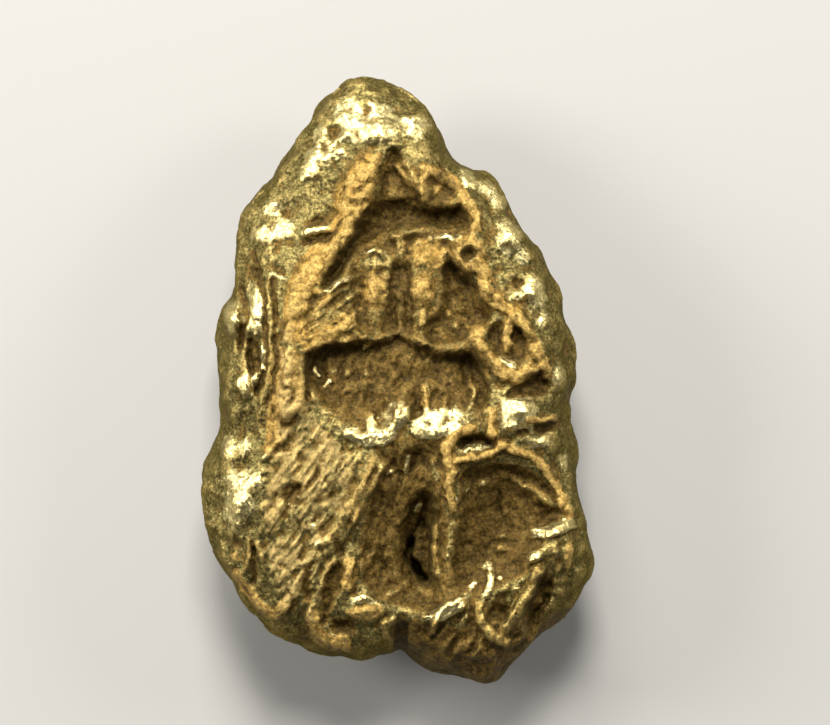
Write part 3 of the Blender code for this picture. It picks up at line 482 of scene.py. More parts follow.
FINE_BOSSES = [
    # lumps of the bright upper flanks
    (0.18, 0.0, (1.04, 0.45), (-5.2, 5.95), 10),
    (0.16, 0.0, (0.52, 0.39), (-5.1, 6.9)),
    (0.12, 0.0, (0.39, 0.26), (-4.7, 6.35)),
    (-0.25, -0.9, (0.45, 0.18), (-3.3, 6.45), 15),
    (0.12, 0.0, (0.52, 0.16), (-4.9, 4.2), -10),
    (-0.15, 0.0, (0.35, 0.3), (-0.5, 10.9)),
    (0.3, 0.0, (0.75, 0.6), (0.65, 10.3)),
    (-0.2, 0.0, (0.4, 0.3), (-2.6, 10.0)),
    (0.16, 0.0, (0.4, 0.3), (-2.2, 9.85)),
    (0.16, 0.0, (0.39, 0.39), (-3.1, 9.9)),
    (0.14, 0.0, (0.3, 0.25), (-2.7, 9.5)),
    (0.14, 0.0, (0.35, 0.25), (-2.35, 9.1)),
    (0.14, 0.0, (0.35, 0.3), (-2.9, 8.9), 30),
    (0.2, 0.0, (0.59, 0.39), (-3.4, 9.1), 40),
    (-0.2, 0.0, (0.25, 0.2), (-3.0, 9.4)),
    (0.16, 0.0, (0.52, 0.39), (-3.6, 8.4), 60),
    (0.24, 0.0, (0.33, 0.59), (2.9, 8.2), 30),
    (0.2, 0.0, (0.59, 0.45), (3.7, 7.7), -40),
    (0.2, 0.0, (0.39, 0.39), (4.2, 7.2)),
    (0.24, 0.0, (0.45, 0.65), (4.5, 5.5)),
    (0.18, 0.0, (0.39, 0.52), (5.1, 5.0), 30),
    (0.18, 0.0, (0.59, 0.23), (5.1, 3.4), 10),
    (0.14, 0.0, (0.26, 0.39), (5.9, 2.4), -30),
    (0.16, 0.0, (0.33, 0.52), (6.6, 0.2)),
    (-0.2, -0.5, (0.3, 0.25), (4.9, 3.9)),
    # knobs of the right ridge and the ring
    (0.2, 0.7, (0.3, 0.3), (3.7, 3.6)),
    (0.18, 0.7, (0.28, 0.28), (4.2, 3.4)),
    (0.1, 0.0, (0.2, 0.13), (3.05, 4.85)),
    (0.15, 0.2, (0.15, 0.15), (2.2, 2.6)),
    (0.15, 0.2, (0.12, 0.15), (2.4, 2.2)),
    (0.15, 0.2, (0.15, 0.12), (2.9, 2.2)),
    # flecks on the terrace's patches
    (0.12, 0.0, (0.2, 0.12), (0.9, 5.6)),
    (0.12, 0.0, (0.15, 0.1), (1.5, 5.7), 20),
    (0.1, 0.0, (0.12, 0.12), (1.3, 5.1)),
    (0.1, 0.0, (0.15, 0.1), (1.8, 4.9), -20),
    (0.12, 0.0, (0.25, 0.1), (-1.1, 5.15), 10),
    # lumps of the left flank
    (0.32, 0.0, (0.58, 1.2), (-5.8, 2.8)),
    (0.32, 0.0, (0.45, 0.91), (-6.75, 2.5), 10),
    (0.16, 0.0, (0.39, 0.2), (-5.8, 0.0), 20),
    (0.18, 0.0, (0.39, 0.59), (-6.9, -2.7)),
    (0.16, 0.0, (0.33, 0.45), (-6.2, -2.7)),
    (0.2, 0.0, (1.04, 0.52), (-6.2, -4.0)),
    (-0.2, -0.3, (0.3, 0.25), (-6.5, -6.6)),
    (0.18, 0.6, (0.25, 0.25), (-6.6, -7.1)),
    # the right boss and the pockets round it
    (0.22, 0.0, (0.6, 0.45), (5.3, -1.2), 10),
    (0.16, 0.0, (0.33, 0.26), (4.6, -1.9)),
    (0.22, 0.0, (0.59, 0.29), (5.8, -2.5)),
    (-0.2, -0.8, (0.4, 0.15), (6.1, -2.0)),
    (-0.2, -0.6, (0.3, 0.15), (5.1, -2.1)),
    (0.16, 0.0, (0.2, 0.52), (6.9, -3.3)),
    # knobs in the basin and the bowl
    (0.15, 0.2, (0.18, 0.2), (-2.05, 0.3)),
    (0.15, 0.2, (0.15, 0.2), (-1.2, 0.3)),
    (0.12, 0.1, (0.12, 0.15), (-2.6, 0.35)),
    (-0.2, -1.0, (0.3, 0.4), (-1.1, -0.5)),
    (0.1, 0.0, (0.26, 0.16), (3.5, -4.1), 30),
    (0.1, 0.0, (0.2, 0.2), (2.9, -4.4)),
    (0.13, 0.0, (0.18, 0.16), (4.2, -7.95)),
    (0.13, 0.0, (0.26, 0.18), (4.9, -8.45), 30),
    (0.11, 0.0, (0.16, 0.16), (2.4, -4.8)),
    (0.16, 0.3, (0.3, 0.2), (2.35, -5.8)),
    (0.12, 0.0, (0.18, 0.18), (-0.3, -3.7)),
    # knobs of the streaked ground
    (0.11, 0.0, (0.18, 0.18), (-3.5, -5.8)),
    (0.11, 0.0, (0.39, 0.16), (-3.1, -6.4), 30),
    (0.14, 0.0, (0.23, 0.18), (-3.8, -7.3)),
    (-0.2, -0.7, (0.4, 0.3), (-4.2, -4.4), 50),
    (-0.16, -0.6, (0.3, 0.3), (-4.3, -4.9)),
    (0.11, 0.0, (0.16, 0.16), (-4.3, -5.0)),
]

# The underside's own hollows and folds, drawn from above as if through the metal. Each row is its
# height, its width and its line. A height above 0 is a hollow of the underside.
BELLY_FORMS = [
    (0.5, 0.7, [(-4.8, 4.4), (-3.2, 5.6), (-1.0, 6.2), (1.4, 7.2)]),
    (-0.4, 0.6, [(2.6, 5.4), (3.8, 3.2), (4.6, 0.8), (4.7, -1.8)]),
    (0.45, 0.6, [(-5.6, -2.0), (-4.6, -4.2), (-2.6, -6.2), (-0.6, -7.4), (1.4, -9.4)]),
    (-0.2, 0.7, [(4.4, -4.6), (4.4, -6.6), (4.8, -8.8)]),
    (0.4, 0.5, [(-0.4, 8.4), (-1.2, 10.2)]),
]

# Streaked ground: the streaks' angle from +X, their length and breadth, their height, and the
# outline that holds them.
STREAKED_FIELD = [
    (-5.1, 2.8), (-3.9, 1.6), (-3.8, -0.2), (-2.6, -1.6), (-0.9, -2.6), (-1.2, -3.6),
    (-1.7, -5.2), (-2.6, -6.6), (-2.8, -8.6), (-3.6, -10.0), (-5.4, -8.8), (-5.9, -6.6),
    (-5.7, -4.0), (-5.2, -1.6),
]
STREAKS = [
    # the wide streaked field of the lower left, in a coarse layer and a fine one
    (57, (2.6, 0.55), 0.1, STREAKED_FIELD),
    (56, (0.7, 0.11), 0.15, STREAKED_FIELD),
    # the ground between the valley's arm and the basin
    (42, (0.8, 0.18), 0.34, [
        (-4.4, 2.6), (-3.2, 3.7), (-2.0, 4.4), (-1.0, 4.2), (-1.3, 2.4), (-2.2, 1.6), (-3.8, 1.2),
    ]),
    # the floor of the basin and of the lower valley
    (75, (0.7, 0.2), 0.14, [
        (-3.8, 1.0), (-0.8, 1.7), (3.1, 1.2), (3.8, -0.6), (2.4, -1.8), (-2.1, -2.0),
    ]),
    (68, (0.9, 0.17), 0.22, [
        (-1.4, -3.2), (2.0, -2.6), (2.0, -4.6), (0.2, -5.2), (-0.2, -8.8), (-2.2, -8.6),
        (-2.6, -6.6),
    ]),
    # the lower right lobe
    (60, (0.9, 0.2), 0.26, [
        (0.6, -9.4), (3.2, -8.4), (5.6, -7.6), (7.4, -6.4), (7.2, -8.8), (4.8, -11.4),
        (1.4, -11.2),
    ]),
    # the left flank's long folds
    (92, (1.6, 0.2), 0.22, [
        (-5.0, 6.0), (-4.7, 2.0), (-4.8, -2.0), (-6.4, -3.0), (-6.6, 2.0), (-6.2, 5.4),
    ]),
]

# How far edges wander, over what breadth, and the noise's seed across and along. Then thin
# wandering creases: their spacing, depth and seed.
RAGGED = ((0.08, 0.6, (20, 30)), (0.08, 0.25, (21, 31)))
CREASES = ((0.7, 0.07, 41), (0.35, 0.04, 42))
SEED_STEPS = (7.3, 3.1, 5.7)  # how far apart two neighbouring seeds lie in the noise


def noise_at(points, breadth, seed):
    """Smooth noise from -1 to 1 at each point, with lumps about breadth across."""
    shift = Vector([seed * step for step in SEED_STEPS])
    return np.array([noise.noise(Vector(p) / breadth + shift) for p in points])


def flat_noise(xy, breadth, seed):
    return noise_at(np.column_stack([xy, np.zeros(len(xy))]), breadth, seed)


DENT_SLOPE = 1.6  # how steeply a dent falls from its rim to its flat middle


def dent_depth(points, breadth):
    """Rounded dents that meet in ridges, 1 in the middle of a dent and 0 on its rim."""
    depths = []
    for p in points:
        (first, second, _, _), _ = noise.voronoi(Vector(p) / breadth)
        depths.append(min(1.0, DENT_SLOPE * (second - first)))
    return np.array(depths)


STREAK_FADE = 0.8  # how far inside its outline a stretch of streaks is at its full height
STREAK_BEND = (0.5, 0.8, 6)  # how many breadths a streak wanders, over what distance, and the seed
STREAK_SEED = 5


def streaks(xy, degrees, size, outline):
    """The streaks of one stretch of ground, -1 to 1, as noise drawn out along them."""
    angle = np.radians(degrees)
    along = xy @ np.array([np.cos(angle), np.sin(angle)]) / size[0]
    across = xy @ np.array([np.sin(angle), -np.cos(angle)]) / size[1]
    share = ground(xy, STREAK_FADE, outline)
    made = np.zeros(len(xy))
    here = np.where(share > 0)[0]
    bend = STREAK_BEND[0] * flat_noise(xy[here], *STREAK_BEND[1:])
    drawn_out = np.column_stack([along[here], across[here] + bend])
    made[here] = flat_noise(drawn_out, 1.0, STREAK_SEED) * share[here]
    return made


RUBBED_BY, STAINED_BY = 0.6, 0.4  # how much of a form a place has where its finish is full
STREAK_CREST, STREAK_TROUGH = 0.3, 0.15  # how much a streak's crest is rubbed, its trough stained
CREASE_LINE = 0.16  # how near to 0 the noise is within a crease
CREASE_STAIN = 0.35
BARE_CREASE = 0.4  # added to how rubbed a place is, so that creases in bare metal are stained too
# the deepest the stain goes; its near black there is partly painted shade
DEEPEST_STAIN_AND_SHADE = 1.5


def relief(xy):
    """The top's relief height, how rubbed and stained each place is, and its polish and painted
    highlight.
    """
    xy = drawn_at(xy)
    ragged = xy.copy()
    for size, breadth, seeds in RAGGED:
        for axis, seed in enumerate(seeds):
            ragged[:, axis] += size * flat_noise(xy, breadth, seed)
    height = np.zeros(len(xy))
    rubbed = np.zeros(len(xy))
    stained = np.zeros(len(xy))
    polish_and_highlight = np.zeros(len(xy))
    forms = [(row[:2], ground(ragged, *row[2:])) for row in GROUNDS]
    forms += [(row[:2], ridge(ragged, *row[2:])) for row in RIDGES + FINE_RIDGES]
    forms += [(row[:2], boss(ragged, *row[2:])) for row in BOSSES + FINE_BOSSES]
    for (rise, finish), share in forms:
        height += rise * share
        if finish >= 0:
            rubbed = np.maximum(rubbed, finish * soft_step(0.0, RUBBED_BY, share))
            stained *= 1 - share
            # raised bare metal takes a polish, and the material paints a highlight on it
            if finish == 0 and rise > 0:
                polish_and_highlight = np.maximum(polish_and_highlight, share)
        else:
            earth = soft_step(0.0, STAINED_BY, share)
            stained = np.maximum(stained, -finish * earth)
            rubbed *= 1 - np.minimum(1, -finish) * earth
    for degrees, size, rise, outline in STREAKS:
        pattern = streaks(xy, degrees, size, outline)
        height += rise * pattern
        rubbed += STREAK_CREST * np.maximum(0, pattern)
        stained += STREAK_TROUGH * np.maximum(0, -pattern)
    for breadth, depth, seed in CREASES:
        crease = 1 - soft_step(0.0, CREASE_LINE, np.abs(flat_noise(ragged, breadth, seed)))
        height -= depth * crease
        stained += CREASE_STAIN * crease * (BARE_CREASE + rubbed)
    return height, np.clip(rubbed, 0, 1), np.clip(stained, 0, DEEPEST_STAIN_AND_SHADE), polish_and_highlight


def side_height(xy, inset, side):
    """Height of the unworn top (side 1) or underside (side -1) at an inset from the outline."""
    if side > 0:
        turn = np.clip(inset / SHOULDER, 0, 1)
        away = xy - np.array(CREST)
        reach = THICKNESS - GIRTH_HEIGHT - away**2 @ np.array(TOP_FALL)
        return GIRTH_HEIGHT + reach * (1 - (1 - turn) ** SHOULDER_POWER) ** (1 / SHOULDER_POWER)
    turn = np.clip(inset / BELLY, 0, 1)
    away = xy - np.array(KEEL)
    reach = GIRTH_HEIGHT + REST_CUT - away**2 @ np.array(KEEL_RISE)
    return GIRTH_HEIGHT - reach * (1 - (1 - turn) ** 2.0) ** BELLY_POWER


# How far towards the middle each ring of the pillow's faces is.
SHRINKS = (0.01, 0.03, 0.06, 0.1, 0.15, 0.21, 0.28, 0.36, 0.46, 0.58, 0.75, 0.92)


def rounded_form():
    """The nugget before it is worn: a closed pillow over the outline, as points and faces."""
    loop = curve_through(OUTLINE, closed=True, spacing=0.4)
    rim = loop[:-1]
    middle = np.array(MIDDLE)
    rings = [np.column_stack([rim, np.full(len(rim), GIRTH_HEIGHT)])]
    for side in (1, -1):
        for shrink in SHRINKS:
            xy = rim + (middle - rim) * shrink
            inset = nearest(xy, loop)[0]
            rings.append(np.column_stack([xy, side_height(xy, inset, side)]))
    count = len(rim)
    points = np.vstack(rings)
    full = np.array([BELLY])  # far enough in for both sides to be at their full height
    poles = np.array([[*middle, side_height(middle[None], full, side)[0]] for side in (1, -1)])
    faces = []
    half = len(SHRINKS)
    for side, pole in ((0, len(points)), (1, len(points) + 1)):
        order = [0] + [1 + side * half + n for n in range(half)]
        for outer, inner in zip(order, order[1:]):
            for n in range(count):
                m = (n + 1) % count
                face = [outer * count + n, outer * count + m, inner * count + m, inner * count + n]
                faces.append(face[:: -1 if side == 0 else 1])
        for n in range(count):
            face = [order[-1] * count + n, order[-1] * count + (n + 1) % count, pole]
            faces.append(face[:: -1 if side == 0 else 1])
    return np.vstack([points, poles]), faces


# How far up or down a face points where the top and the underside begin, and where their forms
# are full. A face that points further than LEVEL_FACES has no part in the flanks.
TOP_FACES = (-0.1, 0.35)
UNDER_FACES = (0.1, 0.6)
LEVEL_FACES = (0.75, 0.97)
KEEL_EDGE = (0.7, 1.25)  # where the underside's folds begin and are full, in KEEL_REACH
TOP_LUMPS = 0.6  # how much of the lumps the top has


def worn(points, normals):
    """Wears the pillow into the nugget: relief on top, folds below, and lumps all over."""
    xy = points[:, :2]
    top = soft_step(*TOP_FACES, normals[:, 2])
    below = soft_step(*UNDER_FACES, -normals[:, 2])
    dents = DENTS[0] * dent_depth(points, DENTS[1])
    lumps = sum(height * noise_at(points, breadth, n) for n, (height, breadth) in enumerate(LUMPS))
    off_keel = np.hypot(*((xy - np.array(KEEL)) / np.array(KEEL_REACH)).T)
    rest = soft_step(*KEEL_EDGE, off_keel)
    folds = sum(height * ridge(xy, width, line) for height, width, line in BELLY_FORMS)
    flank = 1 - soft_step(*LEVEL_FACES, np.abs(normals[:, 2]))
    amount = np.clip(TOP_LUMPS * top + flank + below * rest, 0, 1)
    moved = points + normals * (lumps * amount - dents * flank)[:, None]
    moved[:, 2] += top * relief(xy)[0] + below * rest * folds
    return moved


def mesh_from(points, faces, name):
    mesh = bpy.data.meshes.new(name)
    mesh.from_pydata([tuple(p) for p in points], [], faces)
    mesh.update()
    return mesh


def vertex_values(mesh, what):
    values = np.empty(len(mesh.vertices) * 3)
    mesh.vertices.foreach_get(what, values)
    return values.reshape(-1, 3)


def set_points(mesh, points):
    mesh.vertices.foreach_set("co", points.ravel())
    mesh.update()


def evaluated_mesh(carrier):
    """The mesh that an object's modifiers leave, as a plain mesh."""
    bpy.context.view_layer.update()
    evaluated = carrier.evaluated_get(bpy.context.evaluated_depsgraph_get())
    return bpy.data.meshes.new_from_object(evaluated)


def even_mesh(mesh, voxel):
    """The same form in even faces, all about one voxel across."""
    carrier = bpy.data.objects.new("even", mesh)
    bpy.context.scene.collection.objects.link(carrier)
    remesh = carrier.modifiers.new("even", "REMESH")
    remesh.mode = "VOXEL"
    remesh.voxel_size = voxel
    made = evaluated_mesh(carrier)
    bpy.data.objects.remove(carrier)
    return made


def remove_crumbs(mesh):
    """Takes out any crumb of a few faces that stands loose from the lump."""
    form = bmesh.new()
    form.from_mesh(mesh)
    left = set(form.verts)
    lumps = []
    while left:
        lump, reached = [], [left.pop()]
        while reached:
            vertex = reached.pop()
            lump.append(vertex)
            beside = {edge.other_vert(vertex) for edge in vertex.link_edges} & left
            left -= beside
            reached.extend(beside)
        lumps.append(lump)
    for crumb in sorted(lumps, key=len)[:-1]:
        bmesh.ops.delete(form, geom=crumb, context="VERTS")
    form.to_mesh(mesh)
    form.free()


def fit_box(points, low, high):
    """Fits the form to a box, with everything under its floor worn flat."""
    lowest, highest = points.min(0), points.max(0)
    lowest[2] = 0.0
    fitted = low + (points - lowest) * (high - low) / (highest - lowest)
    fitted[:, 2] = np.maximum(fitted[:, 2], low[2])
    return fitted


def maths_in(tree, kind="ShaderNodeMath", **settings):
    """A shorthand that adds a maths node to a tree, fills its sockets and hands back its result."""
    def maths(operation, *values, **named):
        node = tree.nodes.new(kind)
        for setting, value in {"operation": operation, **settings}.items():
            setattr(node, setting, value)
        for slot, value in [*enumerate(values), *named.items()]:
            if isinstance(value, bpy.types.NodeSocket):
                tree.links.new(value, node.inputs[slot])
            else:
                node.inputs[slot].default_value = value
        return node.outputs[0]
    return maths


DENT_MIDDLE, NOISE_MIDDLE = 0.45, 0.5  # the level of each pattern that leaves the surface in place


def hammering_tree():
    """Geometry nodes that dent and grain a surface along its normals, by its own attributes."""
    tree = bpy.data.node_groups.new("hammered_surface", "GeometryNodeTree")
    socket = tree.interface.new_socket
    socket("Geometry", in_out="INPUT", socket_type="NodeSocketGeometry")
    for mark in ("Dent", "Pit", "Grain"):
        for size in ("Breadth", "Depth"):
            socket(f"{mark} {size}", in_out="INPUT", socket_type="NodeSocketFloat")
    socket("Gold", in_out="INPUT", socket_type="NodeSocketMaterial")
    socket("Geometry", in_out="OUTPUT", socket_type="NodeSocketGeometry")
    nodes, links = tree.nodes, tree.links
    given = nodes.new("NodeGroupInput")
    place = nodes.new("GeometryNodeInputPosition")
    normal = nodes.new("GeometryNodeInputNormal")
    maths = maths_in(tree)
    vectors = maths_in(tree, "ShaderNodeVectorMath")

    def marks(name, kind, output, middle, **settings):
        """How far one kind of mark moves the surface out: a pattern less its middle, by its depth."""
        node = nodes.new(kind)
        for setting, value in settings.items():
            setattr(node, setting, value)
        links.new(place.outputs[0], node.inputs["Vector"])
        links.new(maths("DIVIDE", 1.0, given.outputs[f"{name} Breadth"]), node.inputs["Scale"])
        off_middle = maths("SUBTRACT", node.outputs[output], middle)
        return maths("MULTIPLY", off_middle, given.outputs[f"{name} Depth"])

    def mask(name):
        node = nodes.new("GeometryNodeInputNamedAttribute")
        node.data_type = "FLOAT"
        node.inputs["Name"].default_value = name
        return node.outputs["Attribute"]

    dents = marks("Dent", "ShaderNodeTexVoronoi", "Distance", DENT_MIDDLE, feature="SMOOTH_F1")
    dents = maths("MULTIPLY", dents, mask("flank"))
    pits = marks("Pit", "ShaderNodeTexNoise", "Fac", NOISE_MIDDLE)
    grain = marks("Grain", "ShaderNodeTexNoise", "Fac", NOISE_MIDDLE)
    depth = maths("MULTIPLY", maths("ADD", maths("ADD", dents, pits), grain), mask("free"))
    set_place = nodes.new("GeometryNodeSetPosition")
    links.new(given.outputs["Geometry"], set_place.inputs["Geometry"])
    links.new(vectors("SCALE", normal.outputs[0], Scale=depth), set_place.inputs["Offset"])
    smooth = nodes.new("GeometryNodeSetShadeSmooth")
    links.new(set_place.outputs[0], smooth.inputs["Geometry"])
    realize = nodes.new("GeometryNodeRealizeInstances")
    links.new(smooth.outputs[0], realize.inputs[0])
    finish = nodes.new("GeometryNodeSetMaterial")
    links.new(realize.outputs[0], finish.inputs["Geometry"])
    links.new(given.outputs["Gold"], finish.inputs["Material"])
    result = nodes.new("NodeGroupOutput")
    links.new(finish.outputs[0], result.inputs[0])
    return tree


BEND_SMOOTHING = 3  # how many times the bend is evened out with its neighbours


def hollowness(points, normals, edges):
    """How sharply the surface is bent, per millimetre: above 0 in a crease, under 0 on an edge."""
    count = np.bincount(edges.ravel(), minlength=len(points))[:, None]

    def mean_of_neighbours(values):
        total = np.zeros_like(values)
        np.add.at(total, edges[:, 0], values[edges[:, 1]])
        np.add.at(total, edges[:, 1], values[edges[:, 0]])
        return total / count

    spacing = np.mean(np.hypot(*(points[edges[:, 0]] - points[edges[:, 1]])[:, :2].T))
    bend = np.sum((mean_of_neighbours(points) - points) * normals, axis=1)[:, None]
    for _ in range(BEND_SMOOTHING):
        bend = mean_of_neighbours(bend)
    # a grid's point stands off the mean of its four neighbours by spacing squared / 4 of the bend
    return 4 * bend[:, 0] / spacing**2


def store(mesh, name, values):
    attribute = mesh.attributes.new(name, "FLOAT", "POINT")
    attribute.data.foreach_set("value", values.astype(np.float32))


# The base colours of the finishes. Where there are two, a pattern runs between them.
DULL_METAL = ((0.082, 0.065, 0.022), (0.175, 0.142, 0.050))
# painted highlight: the polish takes gold several times brighter than the dull metal
POLISHED_HIGHLIT_METAL = ((0.60, 0.50, 0.22), (0.67, 0.575, 0.27))
RUBBED_TAN = ((0.33, 0.202, 0.045), (0.24, 0.143, 0.035))
STREAKED_TAN = (0.38, 0.30, 0.13)
BROWN_EARTH = ((0.030, 0.018, 0.003), (0.16, 0.096, 0.022))
# near black for the deepest hollows: earth there, darkened further as painted shade
DEEP_EARTH_AND_SHADE = (0.012, 0.007, 0.001)
WORN_EDGE = (0.52, 0.38, 0.13)
# painted shade: a dark olive laid over the steep and low flanks, as if they were in shade
PAINTED_FLANK_SHADE = (0.07, 0.056, 0.019)
SPECULAR_TINT = (0.6, 0.55, 0.38, 1.0)
SPECULAR_LEVEL = 0.25

# How metallic and how rough each finish is.
METALLIC = {"bare": 1.0, "rubbed": 0.3, "earthy": 0.3, "flank_shade": 0.8}
ROUGHNESS = {"dull": 0.50, "polish_and_highlight": 0.32, "rubbed": 0.65, "earthy": 0.6}

# Each pattern: how broad its marks are and how rough they are.
BLOTCHES = (0.9, 0.55)
SPECKS = (0.2, 0.7)
GRAIN = (0.11, 0.8)
FIBRES = (0.13, 0.6)
PATTERN_DETAIL = 3.0
FIBRE_LENGTH = 6.0  # in breadths
FIBRE_SHARE = 0.6  # how much of the grain is fibres on the streaked field
GRAIN_RELIEF = (0.04, 0.7)  # how deep the grain is, and how much of that shows
FACET_BREADTH = 0.12
FACET_TILT = 0.18  # how far the metal's tiny facets lean, as part of their normal

# The levels of a pattern or of a mask between which one finish turns into the next.
PATTERN_SPAN = (0.3, 0.7)
COLOUR_SPAN = (0.35, 0.65)
TAN_SPAN = (0.3, 0.62)
FLANK_SHADE_SPAN = (0.35, 0.6)
FINISH_SPAN = (0.2, 0.6)
EARTH_SPAN = (0.1, 0.6)
EARTH_GLOSS_SPAN = (0.1, 0.7)
DEEP_EARTH_AND_SHADE_SPAN = (0.7, 1.3)

UNEVENNESS = 0.2  # how far blotches and specks shift the edge of a finish
CREASE_EARTH_AND_SHADE = 0.5  # how much a sharp crease adds to the stain, partly as painted shade
STREAKED_SHARE = 0.5  # how much of the streaked field's tan is STREAKED_TAN
EDGE_WEAR = (0.3, 0.06)  # how much of a sharp edge is worn, on clean ground and on earth
GRIT = (0.35, 1.6)  # what the darkest and the brightest grain multiply the colour by
SHADE_BLOTCHES, SHADE_SPECKS = 0.5, 0.6  # how much of the painted shade is left between its marks


def native_gold():
    """Gold: rubbed tops, earthy hollows, bare hammered flanks, painted highlights and shade."""
    material = bpy.data.materials.new("native_gold")
    material.use_nodes = True
    nodes, links = material.node_tree.nodes, material.node_tree.links
    shader = nodes["Principled BSDF"]
    place = nodes.new("ShaderNodeTexCoord")
    maths = maths_in(material.node_tree, use_clamp=True)
    vectors = maths_in(material.node_tree, "ShaderNodeVectorMath")

    def mask(name):
        node = nodes.new("ShaderNodeAttribute")
        node.attribute_name = name
        return node.outputs["Fac"]

    def cloud(breadth, roughness, vector=place.outputs["Object"]):
        node = nodes.new("ShaderNodeTexNoise")
        node.inputs["Scale"].default_value = 1 / (breadth * MM)
        node.inputs["Detail"].default_value = PATTERN_DETAIL
        node.inputs["Roughness"].default_value = roughness
        links.new(vector, node.inputs["Vector"])
        return node.outputs["Fac"]

    def ramp(value, low, high, to_low=0.0, to_high=1.0):
        node = nodes.new("ShaderNodeMapRange")
        node.inputs["From Min"].default_value = low
        node.inputs["From Max"].default_value = high
        node.inputs["To Min"].default_value = to_low
        node.inputs["To Max"].default_value = to_high
        links.new(value, node.inputs["Value"])
        return node.outputs["Result"]

    def mix(share, first, second):
        """A colour or a number between two, as far as share says."""
        node = nodes.new("ShaderNodeMix")
        colour = isinstance(second, tuple) or getattr(second, "type", "VALUE") != "VALUE"
        node.data_type = "RGBA" if colour else "FLOAT"
        a, b, out = (6, 7, 2) if colour else (2, 3, 0)
        links.new(share, node.inputs[0])
        for slot, value in ((a, first), (b, second)):
            if isinstance(value, tuple):
                node.inputs[slot].default_value = (*value, 1.0)
            elif isinstance(value, (int, float)):
                node.inputs[slot].default_value = value
            else:
                links.new(value, node.inputs[slot])
        return node.outputs[out]

    blotch = cloud(*BLOTCHES)
    speck = cloud(*SPECKS)
    along_streaks = nodes.new("ShaderNodeMapping")
    along_streaks.vector_type = "TEXTURE"
    along_streaks.inputs["Rotation"].default_value = (0.0, 0.0, np.radians(STREAKS[0][0]))
    along_streaks.inputs["Scale"].default_value = (FIBRE_LENGTH, 1.0, 1.0)
    links.new(place.outputs["Object"], along_streaks.inputs["Vector"])
    fibres = cloud(*FIBRES, along_streaks.outputs["Vector"])
    grain = mix(maths("MULTIPLY", mask("streaked"), FIBRE_SHARE), cloud(*GRAIN), fibres)

    uneven = ramp(blotch, *PATTERN_SPAN, -UNEVENNESS, UNEVENNESS)
    ragged = ramp(speck, *PATTERN_SPAN, -UNEVENNESS, UNEVENNESS)
    rubbed = maths("ADD", mask("rubbed"), uneven)
    rubbed = ramp(maths("ADD", rubbed, ragged), *FINISH_SPAN)
    polish_and_highlight = maths("ADD", mask("polish_and_highlight"), uneven)
    polish_and_highlight = ramp(maths("ADD", polish_and_highlight, ragged), *FINISH_SPAN)
    stained = maths("ADD", mask("stained"), ragged)
    # sharp creases are stained darker, partly as painted shade
    stained = maths("ADD", stained, ramp(mask("crease"), 0.0, 1.0, 0.0, CREASE_EARTH_AND_SHADE))
    # painted shade on the steep and low flanks, broken up by blotches and specks
    flank_shade = maths("MULTIPLY", mask("shade"), ramp(blotch, *FLANK_SHADE_SPAN, SHADE_BLOTCHES, 1.0))
    flank_shade = maths("MULTIPLY", flank_shade, ramp(speck, *FLANK_SHADE_SPAN, SHADE_SPECKS, 1.0))

    dull = mix(ramp(grain, *COLOUR_SPAN), *DULL_METAL)
    # painted highlight: the polish is coloured far brighter than the dull metal around it
    bright = mix(ramp(grain, *COLOUR_SPAN), *POLISHED_HIGHLIT_METAL)
    tan = mix(ramp(speck, *TAN_SPAN), *RUBBED_TAN)
    tan = mix(maths("MULTIPLY", mask("streaked"), STREAKED_SHARE), tan, STREAKED_TAN)
    brown = mix(ramp(speck, *COLOUR_SPAN), *BROWN_EARTH)
    colour = mix(rubbed, mix(polish_and_highlight, dull, bright), tan)
    colour = mix(ramp(stained, *EARTH_SPAN), colour, brown)
    # the deepest hollows go near black: partly earth, partly painted shade
    colour = mix(ramp(stained, *DEEP_EARTH_AND_SHADE_SPAN), colour, DEEP_EARTH_AND_SHADE)
    edge = maths("MULTIPLY", mask("edge"), ramp(stained, *EARTH_SPAN, *EDGE_WEAR))
    colour = mix(edge, colour, WORN_EDGE)
    colour = vectors("SCALE", colour, Scale=ramp(grain, *PATTERN_SPAN, *GRIT))
    links.new(mix(flank_shade, colour, PAINTED_FLANK_SHADE), shader.inputs["Base Color"])

    earthy = ramp(stained, *EARTH_GLOSS_SPAN)
    metallic = mix(rubbed, METALLIC["bare"], METALLIC["rubbed"])
    metallic = mix(earthy, metallic, METALLIC["earthy"])
    links.new(mix(flank_shade, metallic, METALLIC["flank_shade"]), shader.inputs["Metallic"])
    roughness = mix(polish_and_highlight, ROUGHNESS["dull"], ROUGHNESS["polish_and_highlight"])
    roughness = mix(rubbed, roughness, ROUGHNESS["rubbed"])
    links.new(mix(earthy, roughness, ROUGHNESS["earthy"]), shader.inputs["Roughness"])
    shader.inputs["Specular Tint"].default_value = SPECULAR_TINT
    shader.inputs["Specular IOR Level"].default_value = SPECULAR_LEVEL

    bump = nodes.new("ShaderNodeBump")
    bump.inputs["Distance"].default_value = GRAIN_RELIEF[0] * MM
    bump.inputs["Strength"].default_value = GRAIN_RELIEF[1]
    links.new(grain, bump.inputs["Height"])
    facets = nodes.new("ShaderNodeTexVoronoi")
    facets.inputs["Scale"].default_value = 1 / (FACET_BREADTH * MM)
    links.new(place.outputs["Object"], facets.inputs["Vector"])
    lean = vectors(
        "MULTIPLY_ADD", facets.outputs["Color"], [2 * FACET_TILT] * 3, [-FACET_TILT] * 3
    )
    tilted = vectors("ADD", bump.outputs["Normal"], lean)
    links.new(vectors("NORMALIZE", tilted), shader.inputs["Normal"])
    return material


